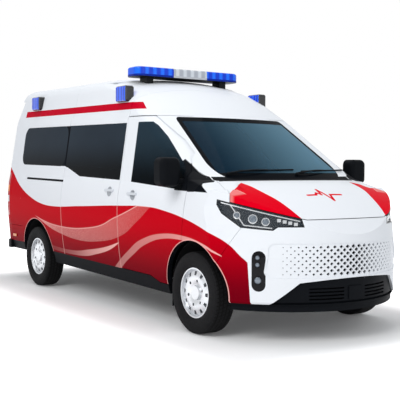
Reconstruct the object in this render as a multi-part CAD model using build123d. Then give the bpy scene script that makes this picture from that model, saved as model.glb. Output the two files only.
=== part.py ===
from build123d import *
import math
import os

# Ambulance van. +X forward, +Y left, +Z up, millimetres, origin on the ground below the middle.
# Body lines are drawn level and then dropped by RAKE per millimetre forward: an empty van stands nose down.

RAKE = 0.015

# wheels and what carries them
FRONT_X = 1704.0
REAR_X = -1664.0
TRACK_Y = 872.0
TYRE_R = 350.0
TYRE_W = 215.0
RIM_R = 213.0
HUB_W = 172.0
SPINDLE_R = 32.0
PIN_FIT = 0.3
KING_IN = 132.0
KING_R = 12.0
ARCH_R = 445.0
LINER_T = 8.0
FRONT_BAY_IN = 322.0
REAR_BAY_IN = 232.0
KING_Y = TRACK_Y - KING_IN
FRONT_BAY_Y = TRACK_Y - FRONT_BAY_IN
REAR_BAY_Y = TRACK_Y - REAR_BAY_IN
RAIL_Y = FRONT_BAY_Y - 100.0
RAIL_W = 80.0

# body form
SWEEP_X = -1000.0
NOSE_X = 1580.0
NOSE_R = 1085.0
ROOF_Z = 2350.0
GUTTER_Z = ROOF_Z - 432.0
SILL_TOP = 429.0
WALL = 45.0
GLASS_T = 6.0
GAP = 6.0
SEAM = 4.0
FLOOR_LOW = 500.0
FLOOR_TOP = 540.0
REAR_FACE = -2635.0
REAR_LEAN = 0.035
BUMPER_BACK = 30.0

# doors and their seams, seen from the side
B_SEAM = 400.0
SLIDE_REAR = -920.0
DOOR_TOP = GUTTER_Z - 10.0
GLASS_TOP = GUTTER_Z - 66.0
DOOR_LOW = 435.0
REAR_DOOR_Y = 800.0
REAR_DOOR_LOW = 566.0
REAR_AXIS_BACK = 16.0
REAR_AXIS_OUT = 12.0
ROOF_SEAMS = (408.0, -880.0)

os.makedirs("parts", exist_ok=True)


def drop(x, z):
    return z - RAKE * x


def face_of(start, steps):
    edges = []
    at = start
    for step in steps:
        if isinstance(step[0], tuple):
            edges.append(ThreePointArc(at, step[0], step[1]))
            at = step[1]
        elif step != at:
            edges.append(Line(at, step))
            at = step
    edges.append(Line(at, start))
    return make_face(edges)


def outline(points, radius=0.0, grow=0.0):
    face = make_face(Polyline(*points, close=True))
    if grow:
        face = offset(face, amount=grow, kind=Kind.INTERSECTION)
    if radius:
        face = fillet(face.vertices(), radius)
    return face


def from_side(points, y_high, y_low, radius=0.0, raked=True):
    pts = [(x, drop(x, z) if raked else z) for x, z in points]
    return extrude(Plane.XZ.offset(-y_high) * outline(pts, radius), amount=y_high - y_low)


def from_front(points, x_low, x_high, radius=0.0):
    return extrude(Plane.YZ.offset(x_low) * outline(points, radius), amount=x_high - x_low)


def on_side(points, side, radius=0.0, grow=0.0, near=800.0):
    pts = [(x, drop(x, z)) for x, z in points]
    start = 1300.0 if side > 0 else -near
    return extrude(Plane.XZ.offset(-start) * outline(pts, radius, grow), amount=1300.0 - near)


# front corners are drawn square to the nose's 45 degree line: w runs across that view, z up
CORNER = Plane((0, 0, 0), x_dir=(1, 1, 0), z_dir=(1, -1, 0))
CORNER_NEAR = 1900.0
CORNER_DEEP = 600.0


def on_corner(face):
    return extrude(CORNER.offset(CORNER_NEAR) * face, amount=CORNER_DEEP)


def block(x0, x1, y0, y1, z0, z1):
    return Pos((x0 + x1) / 2, (y0 + y1) / 2, (z0 + z1) / 2) * Box(x1 - x0, y1 - y0, z1 - z0)


def side_block(x0, x1, side, y_in, y_out, z0, z1):
    return block(x0, x1, min(side * y_in, side * y_out), max(side * y_in, side * y_out), z0, z1)


def level_slab(z0, z1, x0=-3000.0, x1=3000.0):
    return from_side([(x0, z0), (x1, z0), (x1, z1), (x0, z1)], 1500.0, -1500.0)


def wheel_drum(x, radius, y_high, y_low):
    return extrude(Plane.XZ.offset(-y_high) * Pos(x, TYRE_R) * Circle(radius), amount=y_high - y_low)


def solids(shape, least=2000.0):
    return [s for s in shape.solids() if s.volume > least]


def pieces(shape, least=2000.0):
    return Compound(children=solids(shape, least))


def mirrored(shape):
    return mirror(shape, about=Plane.XZ)


def both(shape, least=2000.0):
    return Compound(children=solids(shape, least) + solids(mirrored(shape), least))


def save(shape, name):
    export_step(shape, "parts/" + name + ".step")


# outer form: half width of the side at each height, from the sill up to the roof's edge
SIDE_LINE = [
    (300.0, 920.0), (440.0, 955.0), (860.0, 1000.0), (1010.0, 1003.0), (1150.0, 992.0), (1285.0, 966.0),
    (GUTTER_Z - 38.0, 880.0), (GUTTER_Z + 17.0, 866.0), (ROOF_Z - 160.0, 806.0), (ROOF_Z - 65.0, 750.0),
    (ROOF_Z - 24.0, 640.0),
]
# how far forward the middle line reaches at each height, from the bonnet up over the windscreen to the roof
FRONT_LINE = [
    (1212.0, 2285.0), (1335.0, 1850.0), (GUTTER_Z + 7.0, 940.0), (ROOF_Z - 270.0, 680.0),
    (ROOF_Z - 128.0, 380.0), (ROOF_Z - 40.0, 80.0),
]
REAR_LINE = [
    (200.0, REAR_FACE), (450.0, REAR_FACE), (1950.0, REAR_FACE + REAR_LEAN * 1500.0),
    (ROOF_Z - 60.0, REAR_FACE + 205.0),
]


def along(line, z):
    """The value on a line of (height, value) rows at height z."""
    for (z0, v0), (z1, v1) in zip(line, line[1:]):
        if z <= z1:
            return v0 + (v1 - v0) * (z - z0) / (z1 - z0)
    return line[-1][1]


def section_face(inset, low):
    wide = dict(SIDE_LINE)
    levels = [z for z, _ in SIDE_LINE]
    sill, step, waist, belt, crease, shoulder, gutter, cant, edge, bend, crown = [(wide[z], z) for z in levels]
    half = [sill, step, (waist, belt), (crease, shoulder), gutter, cant, edge, (bend, crown)]
    right_up = [(-sill[0], low)]
    for item in half:
        if isinstance(item[0], tuple):
            right_up.append(tuple((-y, z) for y, z in item))
        else:
            right_up.append((-item[0], item[1]))
    down = [((0.0, ROOF_Z), crown), (bend, edge), cant, gutter, shoulder, (crease, belt), (waist, step), sill]
    face = face_of(right_up[0], right_up[1:] + down + [(sill[0], low)])
    if inset:
        face = offset(face, amount=-inset, kind=Kind.INTERSECTION)
    return face


def section_bar(inset, low):
    bar = extrude(Plane.YZ.offset(-3200.0) * section_face(inset, low), amount=6400.0)
    return bar.rotate(Axis.Y, math.degrees(math.atan(RAKE)))


def spun(face, x):
    axis = Axis((x, 0, 0), (0, 0, 1))
    return revolve((Plane.XZ * face).rotate(axis, -90.0), axis=axis, revolution_arc=180.0)


def swept_front(inset):
    steps = [
        (3000.0, -400.0),
        (3000.0, 560.0),
        (2700.0, 850.0),
        (2558.0, 1041.0),
        ((2285.0, 1212.0), (1850.0, 1335.0)),
        (940.0, GUTTER_Z + 7.0),
        ((380.0, ROOF_Z - 128.0), (-350.0, ROOF_Z + 16.0)),
        (SWEEP_X, ROOF_Z + 90.0),
    ]
    dropped = []
    for step in steps:
        if isinstance(step[0], tuple):
            dropped.append(tuple((x, drop(x, z)) for x, z in step))
        else:
            dropped.append((step[0], drop(*step)))
    face = face_of((SWEEP_X, -400.0), dropped)
    if inset:
        core = Pos(SWEEP_X + 60.0, 900.0) * Rectangle(120.0, 2400.0)
        face = offset(face, amount=-inset, kind=Kind.INTERSECTION) + core
    return spun(face, SWEEP_X)


def rear_box(inset):
    pts = [(SWEEP_X + 130.0, -400.0), (SWEEP_X + 130.0, ROOF_Z + 90.0), (REAR_FACE + 405.0 + inset, ROOF_Z + 90.0)]
    pts += [(x + inset, z) for z, x in reversed(REAR_LINE)]
    pts += [(REAR_FACE + inset, -400.0)]
    return from_side(pts, 1400.0, -1400.0)


def round_nose(inset):
    r = NOSE_R - inset
    pts = [
        (0.0, 1700.0), (0.0, -400.0), (r - 25.0, -400.0), (r - 25.0, 300.0), (r, 340.0), (r, 700.0),
        (r - 20.0, 950.0), (r - 40.0, 1100.0), (r - 40.0, 1700.0),
    ]
    front = spun(outline([(NOSE_X + x, z) for x, z in pts]), NOSE_X)
    return front + block(-3000.0, NOSE_X, -1200.0, 1200.0, -400.0, 3000.0)


# rounded upright corners: reach is how far the rounding runs along each face, by height
PILLAR_ROUND = [
    (1262.0, 40.0), (1335.0, 90.0), (1450.0, 150.0), (GUTTER_Z - 38.0, 140.0), (GUTTER_Z + 17.0, 140.0),
    (ROOF_Z - 270.0, 150.0), (ROOF_Z - 160.0, 150.0), (ROOF_Z - 65.0, 120.0),
]
REAR_ROUND = 80.0
SOFT = math.radians(5.0)
RUN_OUT = 250.0


def corner_section(a, b, turn, outside, z):
    """What a rounding takes away at one height: an arc from a to b with straight run-outs."""
    way = (b - a).normalized()
    out = Vector(-way.Y, way.X)
    if out.dot(outside) < 0:
        out = out * -1.0
    middle = (a + b) / 2 + out * ((b - a).length / 2 * math.tan(turn / 4))
    lift = out * math.tan(turn / 2)
    a_far = a - (way + lift).normalized() * RUN_OUT
    b_far = b + (way - lift).normalized() * RUN_OUT
    far = out * 400.0
    edges = [
        Line(a_far, a), ThreePointArc(a, middle, b), Line(b, b_far), Line(b_far, b_far + far),
        Line(b_far + far, a_far + far), Line(a_far + far, a_far),
    ]
    return Pos(0, 0, z) * make_face(edges)


def pillar_rounding(inset):
    faces = []
    for z, reach in PILLAR_ROUND:
        slope = math.atan2(along(FRONT_LINE, z + 20.0) - along(FRONT_LINE, z - 20.0), 40.0)
        r = along(FRONT_LINE, z) - SWEEP_X - inset / math.cos(slope)
        y = along(SIDE_LINE, z) - inset
        turn = math.asin(y / r)
        x = SWEEP_X + r * math.cos(turn)
        back = turn - reach / r
        b = Vector(SWEEP_X + r * math.cos(back), r * math.sin(back))
        faces.append(corner_section(Vector(x - reach, y), b, math.pi / 2 - turn - 2 * SOFT, Vector(1, 1), drop(x, z)))
    return loft(faces, ruled=True)


def rear_rounding(inset):
    faces = []
    for z, y in SIDE_LINE[:9]:
        x = along(REAR_LINE, z) + inset
        a = Vector(x + REAR_ROUND, y - inset)
        b = Vector(x, y - inset - REAR_ROUND)
        level = drop(x, z) - (60.0 if z == SIDE_LINE[0][0] else 0.0)
        faces.append(corner_section(a, b, math.pi / 2 - 2 * SOFT, Vector(-1, 1), level))
    return loft(faces, ruled=True)


def envelope(inset, low, rounded=False):
    bar = section_bar(inset, low)
    form = ((bar & swept_front(inset)) & round_nose(inset)) + (bar & rear_box(inset))
    if rounded:
        for cut in (pillar_rounding(inset), rear_rounding(inset)):
            form = form - cut - mirrored(cut)
    return form


BELOW = -300.0
OUTER = envelope(0.0, 300.0, rounded=True)
INNER = envelope(WALL, BELOW, rounded=True)
PANE_BACK = envelope(GLASS_T, BELOW, rounded=True)
SHELL = OUTER - INNER
PANES = OUTER - PANE_BACK
LOW = SHELL & level_slab(200.0, GUTTER_Z)


def wheel_bays(extra):
    bays = None
    for x, y_in in ((FRONT_X, FRONT_BAY_Y), (REAR_X, REAR_BAY_Y)):
        drum = wheel_drum(x, ARCH_R + extra, 1200.0, y_in - extra)
        bays = drum if bays is None else bays + drum
        bays = bays + mirrored(drum)
    return bays


ARCHES = wheel_bays(0.0)
BAYS = wheel_bays(LINER_T)

# side windows, doors and panels, seen from the side
FRONT_WINDOW = [
    (612.0, 1283.0), (1520.0, 1243.0), (1520.0, 1408.0), (1450.0, 1462.0), (1295.0, 1568.0),
    (1080.0, 1712.0), (900.0, 1818.0), (820.0, GLASS_TOP + 3.0), (612.0, GLASS_TOP + 3.0),
]
SLIDE_WINDOW = [
    (-902.0, 1398.0), (-840.0, 1390.0), (-520.0, 1304.0), (384.0, 1292.0), (384.0, GLASS_TOP),
    (-902.0, GLASS_TOP),
]
REAR_WINDOW = [(-2190.0, 1405.0), (-940.0, 1402.0), (-940.0, GLASS_TOP), (-2190.0, GLASS_TOP)]
REAR_WINDOW_ROUND = 110.0
FRONT_DOOR = [
    (403.0, DOOR_LOW), (960.0, DOOR_LOW), (1120.0, 388.0), (1300.0, 388.0), (1540.0, 700.0),
    (1546.0, 790.0), (1588.0, 1030.0), (1606.0, 1225.0), (1560.0, 1400.0), (1380.0, 1557.0),
    (1190.0, 1678.0), (850.0, GUTTER_Z - 46.0), (780.0, DOOR_TOP), (403.0, DOOR_TOP),
]
SAIL = [(1616.0, 1230.0), (1716.0, 1234.0), (1800.0, 1318.0), (1572.0, 1408.0)]
FENDER = [
    (1549.0, 650.0), (1552.0, 790.0), (1594.0, 1030.0), (1614.0, 1228.0), (1718.0, 1232.0), (1804.0, 1318.0),
    (1630.0, 1413.0), (1630.0, 1600.0), (2200.0, 1600.0), (2200.0, 1000.0), (2215.0, 962.0), (2035.0, 645.0),
    (2010.0, 560.0), (1700.0, 560.0),
]
FENDER_NEAR = 773.0
NOSE = [
    (2035.0 + SEAM, 645.0), (2215.0 + SEAM, 962.0), (2300.0, 1300.0), (2900.0, 1300.0), (2900.0, 200.0),
    (2100.0, 200.0), (2010.0 + SEAM, 560.0),
]
SILL = [
    (-1290.0, 250.0), (1340.0, 250.0), (1340.0, 382.0), (1118.0, 382.0), (958.0, SILL_TOP), (-1290.0, SILL_TOP),
]

# roof in three panels
roof = SHELL & level_slab(GUTTER_Z, ROOF_Z + 300.0)
for x in ROOF_SEAMS:
    roof = roof - block(x - SEAM / 2, x + SEAM / 2, -1200.0, 1200.0, GUTTER_Z - 400.0, ROOF_Z + 300.0)
save(pieces(roof), "roof_panel")

# headlamps, seen square to the corner: their top edge is one straight line that the bonnet follows
LAMP = [
    (754.0, 1157.0), (750.0, 1112.0), (795.0, 1042.0), (961.0, 933.0), (1122.0, 921.0), (1224.0, 914.0),
    (1263.0, 941.0), (1470.0, 942.0), (1449.0, 1005.0),
]
LAMP_RIM = 9.0
LAMP_DEEP = 36.0
COVER_T = 5.0


def lamp_top(w):
    (w0, z0), (w1, z1) = LAMP[-1], LAMP[0]
    return z0 + (z1 - z0) * (w - w0) / (w1 - w0)


def below_lamp_top(rise):
    pts = [(200.0, lamp_top(200.0) + rise), (1900.0, lamp_top(1900.0) + rise), (1900.0, 400.0), (200.0, 400.0)]
    right = extrude(CORNER.offset(1500.0) * outline(pts), amount=1500.0)
    return right + mirrored(right)


BONNET_LOW = 1003.0
bonnet_face = face_of(
    (1806.0, -790.0),
    [((1880.0, 0.0), (1806.0, 790.0)), (1988.0, 846.0), (2064.0, 864.0), (2150.0, 905.0), (2330.0, 850.0),
     (2620.0, 600.0), (2700.0, 0.0), (2620.0, -600.0), (2330.0, -850.0), (2150.0, -905.0), (2064.0, -864.0),
     (1988.0, -846.0)])
BONNET = extrude(Plane.XY.offset(BONNET_LOW) * bonnet_face, amount=480.0) - below_lamp_top(GAP)
BONNET_HOLE = extrude(Plane.XY.offset(BONNET_LOW - GAP) * offset(bonnet_face, amount=GAP), amount=500.0)
BONNET_HOLE = BONNET_HOLE - below_lamp_top(0.0)
SCREEN_TOP = GUTTER_Z - 25.0
screen_face = make_face(Polyline((-752, 1316), (752, 1316), (636, SCREEN_TOP), (-636, SCREEN_TOP), close=True))
screen_face = fillet(screen_face.vertices().sort_by(Axis.Y)[:2], 130.0)
screen_face = fillet(screen_face.vertices().sort_by(Axis.Y)[-2:], 50.0)
SCREEN = extrude(Plane.YZ.offset(700.0) * screen_face, amount=1300.0)

lamp_zone = on_corner(outline(LAMP))
LAMPS = lamp_zone + mirrored(lamp_zone)
tray_hole = on_corner(outline(LAMP, grow=-LAMP_RIM))
LAMP_FLOOR = envelope(LAMP_DEEP, BELOW)
lamp_shell = (SHELL & lamp_zone) - BONNET_HOLE
save(both(lamp_shell - (tray_hole - LAMP_FLOOR)), "headlamps")
COVERS = OUTER - envelope(COVER_T, BELOW)
save(both((COVERS & tray_hole) - BONNET_HOLE), "headlamp_covers")

# lamp inside: bright strips, round units and a row of small square ones, standing on the tray
LAMP_UNITS = [(925.0, 1030.0, 30.0), (1058.0, 1003.0, 38.0), (1162.0, 983.0, 33.0)]
LAMP_CELLS = (1268.0, 1312.0, 1356.0, 1400.0)
STRIP_W = 9.0
upper = Polyline((785.0, lamp_top(785.0) - 20.0), (1437.0, lamp_top(1437.0) - 20.0))
lower = Polyline((870.0, lamp_top(870.0) - 22.0), (985.0, 952.0), (1215.0, 932.0))
marks = on_corner(trace(upper, line_width=STRIP_W)) + on_corner(trace(lower, line_width=STRIP_W))
inside = [marks & (envelope(22.0, BELOW) - LAMP_FLOOR)]
UNIT_BODY = envelope(12.0, BELOW) - LAMP_FLOOR
UNIT_LENS = envelope(20.0, BELOW)
for w, z, r in LAMP_UNITS:
    unit = on_corner(Pos(w, z) * Circle(r)) & UNIT_BODY
    inside.append(unit - (on_corner(Pos(w, z) * Circle(r - 6.0)) - UNIT_LENS))
for w in LAMP_CELLS:
    inside.append(on_corner(Pos(w, lamp_top(w) - 50.0) * Rectangle(30.0, 26.0)) & UNIT_BODY)
save(both(inside[0].fuse(*inside[1:]), 500.0), "lamp_units")

# front bumper, grille, lower grille with lip, fog lamps
GRILLE = from_front([(-735.0, 536.0), (735.0, 536.0), (705.0, 812.0), (-705.0, 812.0)], 2000.0, 2900.0, 48.0)
LIP_TOP = 325.0
insert_face = face_of(
    (-700.0, 200.0), [(700.0, 200.0), (700.0, LIP_TOP), (505.0, 498.0), ((0.0, 530.0), (-505.0, 498.0)),
                      (-700.0, LIP_TOP)])
INSERT = extrude(Plane.YZ.offset(2000.0) * insert_face, amount=900.0)
LIP = block(1900.0, 2900.0, -1200.0, 1200.0, 100.0, LIP_TOP)
FOG_AT = (1113.0, 589.0)
FOG_LONG = 326.0
FOG_WIDE = 114.0
fog_zone = on_corner(Pos(*FOG_AT) * Rot(0, 0, 90) * SlotOverall(FOG_LONG, FOG_WIDE))
FOG = fog_zone + mirrored(fog_zone)

bonnet = SHELL & BONNET
save(pieces(bonnet), "bonnet")
nose_zone = on_side(NOSE, 1, near=0.0) + on_side(NOSE, -1, near=0.0)
nose_shell = (SHELL & nose_zone) - ARCHES - BONNET_HOLE - LAMPS
save(pieces(nose_shell - GRILLE - INSERT - LIP - FOG), "front_bumper")

# grille: diamonds in offset rows on the round nose, largest in the middle and fading to its ends
GRILLE_ROWS = 9
GRILLE_LOW = 566.0
ROW_STEP = 27.0
HOLE_PITCH = 63.0
GRILLE_REACH = 670.0
HOLE_FULL = 0.79
HOLE_END = 0.16
GRILLE_SET = 6.0
GRILLE_T = 16.0
GRILLE_BACK = envelope(GRILLE_SET + GRILLE_T, BELOW)
plate = ((envelope(GRILLE_SET, BELOW) - GRILLE_BACK) & nose_zone) & GRILLE
holes = []
for row in range(GRILLE_ROWS):
    z = GRILLE_LOW + row * ROW_STEP
    start = 0.0 if row % 2 else HOLE_PITCH / 2
    count = int((GRILLE_REACH - start) / HOLE_PITCH)
    for k in range(-count - (0 if row % 2 == 1 else 1), count + 1):
        run = start + k * HOLE_PITCH
        share = HOLE_END + (HOLE_FULL - HOLE_END) * (1.0 - abs(run) / GRILLE_REACH)
        a = share * HOLE_PITCH / 2
        b = share * ROW_STEP
        turn = run / NOSE_R
        out = Vector(math.cos(turn), math.sin(turn), 0)
        at = Plane(Vector(NOSE_X, 0, z) + out * (NOSE_R - 60.0), x_dir=(-out.Y, out.X, 0), z_dir=out)
        diamond = make_face(Polyline((a, 0), (0, b), (-a, 0), (0, -b), close=True))
        holes.append(extrude(at * diamond, amount=90.0))
save(pieces(plate.cut(*holes)), "grille")
save(pieces(((GRILLE_BACK - INNER) & nose_zone) & GRILLE), "grille_backing")

INSERT_SET = 22.0
COVER_SET = 12.0
INSERT_FACE = envelope(INSERT_SET, BELOW)
SLOT_ROWS = (356.0, 384.0, 412.0, 440.0)
SLOT_H = 13.0
lower_panel = ((INSERT_FACE - INNER) & nose_zone) & (INSERT - LIP)
for z in SLOT_ROWS:
    for side in (1, -1):
        lower_panel = lower_panel - side_block(2000.0, 2900.0, side, 115.0, 420.0, z, z + SLOT_H)
cover = ((envelope(COVER_SET, BELOW) - INNER) & nose_zone) & block(2000.0, 2900.0, -74.0, 74.0, 352.0, 458.0)
lip = (nose_shell & LIP) - FOG
save(pieces(lower_panel + cover + lip), "lower_grille")

FOG_SET = 16.0
FOG_UNITS = [(1102.0, 697.0, 24.0), (1102.0, 640.0, 24.0), (1106.0, 515.0, 34.0)]
fog = (envelope(FOG_SET, BELOW) - INNER) & fog_zone
UNIT_FRONT = envelope(5.0, BELOW)
for w, z, r in FOG_UNITS:
    unit = on_corner(Pos(w, z) * Circle(r)) & (UNIT_FRONT - INNER)
    fog = fog + (unit - (on_corner(Pos(w, z) * Circle(r - 5.0)) - envelope(12.0, BELOW)))
save(both(fog - GRILLE - INSERT), "fog_lamps")

fender = None
for side in (1, -1):
    wing = (SHELL & on_side(FENDER, side, near=FENDER_NEAR)) - ARCHES - BONNET_HOLE - SCREEN - LAMPS
    fender = wing if fender is None else fender + wing
save(pieces(fender), "fenders")

# cab pillars, windscreen, black trim below and beside it
cab = LOW & block(420.0, 2060.0, -1200.0, 1200.0, 1150.0, 2100.0)
for side in (1, -1):
    cab = cab - on_side(FRONT_DOOR, side, grow=GAP, near=590.0)
    cab = cab - on_side(FENDER, side, near=FENDER_NEAR)
cab = pieces(cab - SCREEN - BONNET_HOLE - level_slab(GUTTER_Z - 3.0, 2600.0, -3000.0, 900.0))
sail_zone = on_side(SAIL, 1) + on_side(SAIL, -1)
cowl_zone = block(1500.0, 2060.0, -FENDER_NEAR - 17.0, FENDER_NEAR + 17.0, 1100.0, 1335.0)
sails = pieces(cab & sail_zone)
pillars = cab - sail_zone
cowl = pieces(pillars & cowl_zone)
save(Compound(children=sails.solids() + cowl.solids()), "cowl_and_sails")
posts = envelope(WALL + GAP, BELOW) & block(330.0, 430.0, -1200.0, 1200.0, 500.0, DOOR_TOP - 3.0)
posts = posts - block(300.0, 500.0, -850.0, 850.0, 400.0, 2000.0) - level_slab(0.0, FLOOR_TOP)
SEATING = envelope(WALL + PIN_FIT, BELOW)
strikers = SEATING & block(406.0, 428.0, -1200.0, 1200.0, 980.0, 1030.0)
strikers = strikers - block(300.0, 500.0, -880.0, 880.0, 400.0, 2000.0)
save(pieces((pillars - cowl_zone) + (posts + strikers)), "cab_pillars")
save(pieces(PANES & SCREEN & level_slab(200.0, GUTTER_Z)), "windscreen")
# crossbeam that the shut bonnet rests on, with two buffers
beam = INNER & block(2430.0, 2490.0, -1200.0, 1200.0, 880.0, 915.0)
buffers = Pos(2462.0, 330.0, 950.0) * Cylinder(14.0, 300.0) + Pos(2462.0, -330.0, 950.0) * Cylinder(14.0, 300.0)
buffers = (SEATING & buffers) & block(2400.0, 2600.0, -400.0, 400.0, 900.0, 1300.0)
save(pieces(beam + buffers), "slam_panel")

# rear hinges: a barrel on the door turns on a pin held by two ears on the body
HINGE_ZS = (800.0, 1330.0, GUTTER_Z - 88.0)
HINGE_R = 10.0
HINGE_PIN_R = 5.0
HINGE_H = 40.0
EAR_H = 16.0
REAR_LIFT = -RAKE * REAR_FACE
LEAN_DEG = math.degrees(math.atan(REAR_LEAN))


def rear_face_x(z):
    return REAR_FACE + REAR_LEAN * (z - REAR_LIFT - 450.0)


def hinge_leaf(side):
    barrel = Pos(-REAR_AXIS_BACK, side * REAR_AXIS_OUT, 0) * Cylinder(HINGE_R, HINGE_H)
    strap = Pos(-10.0, side * -32.0, 0) * Box(24.0, 60.0, HINGE_H)
    web = Pos(-14.0, side * 4.0, 0) * Box(16.0, 16.0, HINGE_H)
    hole = Pos(-REAR_AXIS_BACK, side * REAR_AXIS_OUT, 0) * Cylinder(HINGE_PIN_R + PIN_FIT, 3.0 * HINGE_H)
    return barrel + strap + web - hole


def hinge_ears(side):
    leaf = Pos(-REAR_AXIS_BACK, side * REAR_AXIS_OUT, 0) * Cylinder(HINGE_PIN_R, HINGE_H + EAR_H)
    for end in (1, -1):
        z = end * (HINGE_H / 2 + PIN_FIT + EAR_H / 2)
        leaf = leaf + Pos(-REAR_AXIS_BACK, side * REAR_AXIS_OUT, z) * Cylinder(HINGE_R, EAR_H)
        leaf = leaf + Pos(-10.0, side * (REAR_AXIS_OUT + 20.0), z) * Box(24.0, 40.0, EAR_H)
    return leaf


def rear_ears(side):
    ears = [Pos(rear_face_x(z), side * REAR_DOOR_Y, z) * Rot(0, LEAN_DEG, 0) * hinge_ears(side) for z in HINGE_ZS]
    return ears[0] + ears[1] + ears[2]


def pull_handle(x, z, side):
    """A bar across a round dish in the door's skin; returns the dish to cut and the bar to add."""
    y = along(SIDE_LINE, z + RAKE * x)
    dish = Pos(x, side * (y + 74.0), z) * Sphere(90.0)
    bar = Pos(x, side * (y + 5.0), z + 12.0) * Box(176.0, 24.0, 26.0)
    bar = fillet(bar.edges().filter_by(Axis.Y), 11.0)
    bar = fillet(bar.faces().sort_by(Axis.Y)[-1 if side > 0 else 0].edges(), 5.0)
    return dish, bar


# side panels, sliding door with its rail, painted bumper corners
CORNER_LOW = 485.0
CORNER_TOP = 681.0
CORNER_FRONT = -2085.0
TAIL = from_front([(858.0, 800.0), (1100.0, 800.0), (1100.0, 1330.0), (858.0, 1330.0)], -2800.0, -2480.0)
TAIL = TAIL + mirrored(TAIL)
RAIL_ZONE = on_side([(-1960.0, 1231.0), (-905.0, 1231.0), (-905.0, 1255.0), (-1960.0, 1255.0)], -1, radius=10.0)
RAIL_DEEP = 14.0
RAIL_SET = 4.0
rail_floor = envelope(RAIL_DEEP, BELOW)
corner_zone = block(-3000.0, CORNER_FRONT, -1200.0, 1200.0, 100.0, CORNER_TOP + SEAM)


def rear_quarter(side, x_front):
    pts = [(-2800.0, SILL_TOP), (x_front, SILL_TOP), (x_front, GUTTER_Z), (-2800.0, GUTTER_Z)]
    return (LOW & on_side(pts, side, near=REAR_DOOR_Y + GAP)) - ARCHES - TAIL


rear_pane = on_side(REAR_WINDOW, -1, radius=REAR_WINDOW_ROUND)
slide_pane = on_side(SLIDE_WINDOW, -1)
left_panes = on_side(REAR_WINDOW, 1, radius=REAR_WINDOW_ROUND) + on_side(SLIDE_WINDOW, 1)
right_panel = rear_quarter(-1, SLIDE_REAR - 3.0) - corner_zone - rear_pane - (RAIL_ZONE - rail_floor)
left_panel = rear_quarter(1, B_SEAM - 3.0) - corner_zone - left_panes
save(pieces(right_panel + rear_ears(-1)), "side_panel_right")
save(pieces(left_panel + rear_ears(1)), "side_panel_left")
slide = [
    (SLIDE_REAR + 3.0, SILL_TOP), (B_SEAM - 3.0, SILL_TOP), (B_SEAM - 3.0, GUTTER_Z), (SLIDE_REAR + 3.0, GUTTER_Z),
]
dish, bar = pull_handle(212.0, 1170.0, -1)
sliding = (LOW & on_side(slide, -1)) - slide_pane - (RAIL_ZONE - rail_floor) - dish
save(pieces(sliding + bar), "sliding_door")
rail = (envelope(RAIL_SET, BELOW) - rail_floor) & RAIL_ZONE
save(pieces(rail - block(SLIDE_REAR - 3.0, 0.0, -1200.0, 0.0, 900.0, 1500.0)), "slide_rail")
save(pieces(PANES & (rear_pane + slide_pane + left_panes)), "privacy_glass")
sills = (SHELL & (on_side(SILL, 1) + on_side(SILL, -1))) - ARCHES
save(pieces(sills), "sill_trims")
save(pieces(LOW & TAIL), "tail_lamps")
corner_face = [(-2800.0, CORNER_LOW), (CORNER_FRONT, CORNER_LOW), (CORNER_FRONT, CORNER_TOP), (-2800.0, CORNER_TOP)]
corner_side = from_side(corner_face, 1300.0, REAR_DOOR_Y + GAP, raked=False)
save(both((LOW & corner_side) - ARCHES), "bumper_corners")

# front doors with glass, handles and mirrors
MIRROR_AT = (1500.0, 1100.0, 1375.0)
for side, name in ((1, "left"), (-1, "right")):
    pane = on_side(FRONT_WINDOW, side)
    dish, bar = pull_handle(680.0, 1149.0, side)
    door = (LOW & on_side(FRONT_DOOR, side, near=600.0)) - ARCHES - pane - dish
    save(pieces(door + bar), "front_door_" + name)
    save(pieces(PANES & pane), "front_door_glass_" + name)
    x, y, z = MIRROR_AT
    head = Pos(x, side * y, z) * Box(130.0, 200.0, 250.0)
    head = fillet(head.edges().filter_by(Axis.X), 55.0)
    head = fillet(head.faces().sort_by(Axis.X)[-1].edges(), 45.0)
    arm = fillet((Pos(x + 10.0, side * 985.0, z - 85.0) * Box(64.0, 120.0, 54.0)).edges().filter_by(Axis.Y), 16.0)
    save(pieces((head + arm) - OUTER), "mirror_" + name)

# rear doors, hinged on leaning posts
for side, name in ((1, "left"), (-1, "right")):
    y0 = side * 3.0
    y1 = side * REAR_DOOR_Y
    z0 = REAR_DOOR_LOW + REAR_LIFT
    z1 = DOOR_TOP + REAR_LIFT
    panel = SHELL & from_front([(y0, z0), (y1, z0), (y1, z1), (y0, z1)], -2800.0, -2400.0)
    w0 = side * 110.0
    w1 = side * 690.0
    top = GLASS_TOP + 8.0
    pane = from_front([(w0, 1370.0), (w1, 1370.0), (w1, top), (w0, top)], -2800.0, -2400.0, 60.0)
    door = panel - pane
    for z in HINGE_ZS:
        at = Pos(rear_face_x(z), side * REAR_DOOR_Y, z) * Rot(0, LEAN_DEG, 0)
        door = door + at * hinge_leaf(side)
    save(pieces(door), "rear_door_" + name)
    save(pieces(PANES & pane), "rear_door_glass_" + name)

# rear bumper: a step below the doors that wraps the corners and runs on to the wheel arches
BUMPER_LOW = 385.0
BUMPER_TOP = 590.0
STEP_X = REAR_FACE + 145.0
BUMPER_X = REAR_FACE - BUMPER_BACK
bumper_face = make_face(Polyline((STEP_X, -975), (BUMPER_X, -975), (BUMPER_X, 975), (STEP_X, 975), close=True))
bumper_face = fillet(bumper_face.vertices().sort_by(Axis.X)[:2], 110.0)
bar = extrude(Plane.XY.offset(BUMPER_LOW) * bumper_face, amount=CORNER_LOW - BUMPER_LOW)
step = extrude(Plane.XY.offset(CORNER_LOW) * bumper_face, amount=BUMPER_TOP - CORNER_LOW)
bar = bar + (step & block(-3000.0, STEP_X, -REAR_DOOR_Y, REAR_DOOR_Y, 300.0, 700.0))
bar = bar - block(REAR_FACE + 50.0, STEP_X + 200.0, -915.0, 915.0, 300.0, 700.0)
return_zone = block(-2600.0, CORNER_FRONT, -1200.0, 1200.0, BUMPER_LOW, CORNER_LOW)
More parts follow.
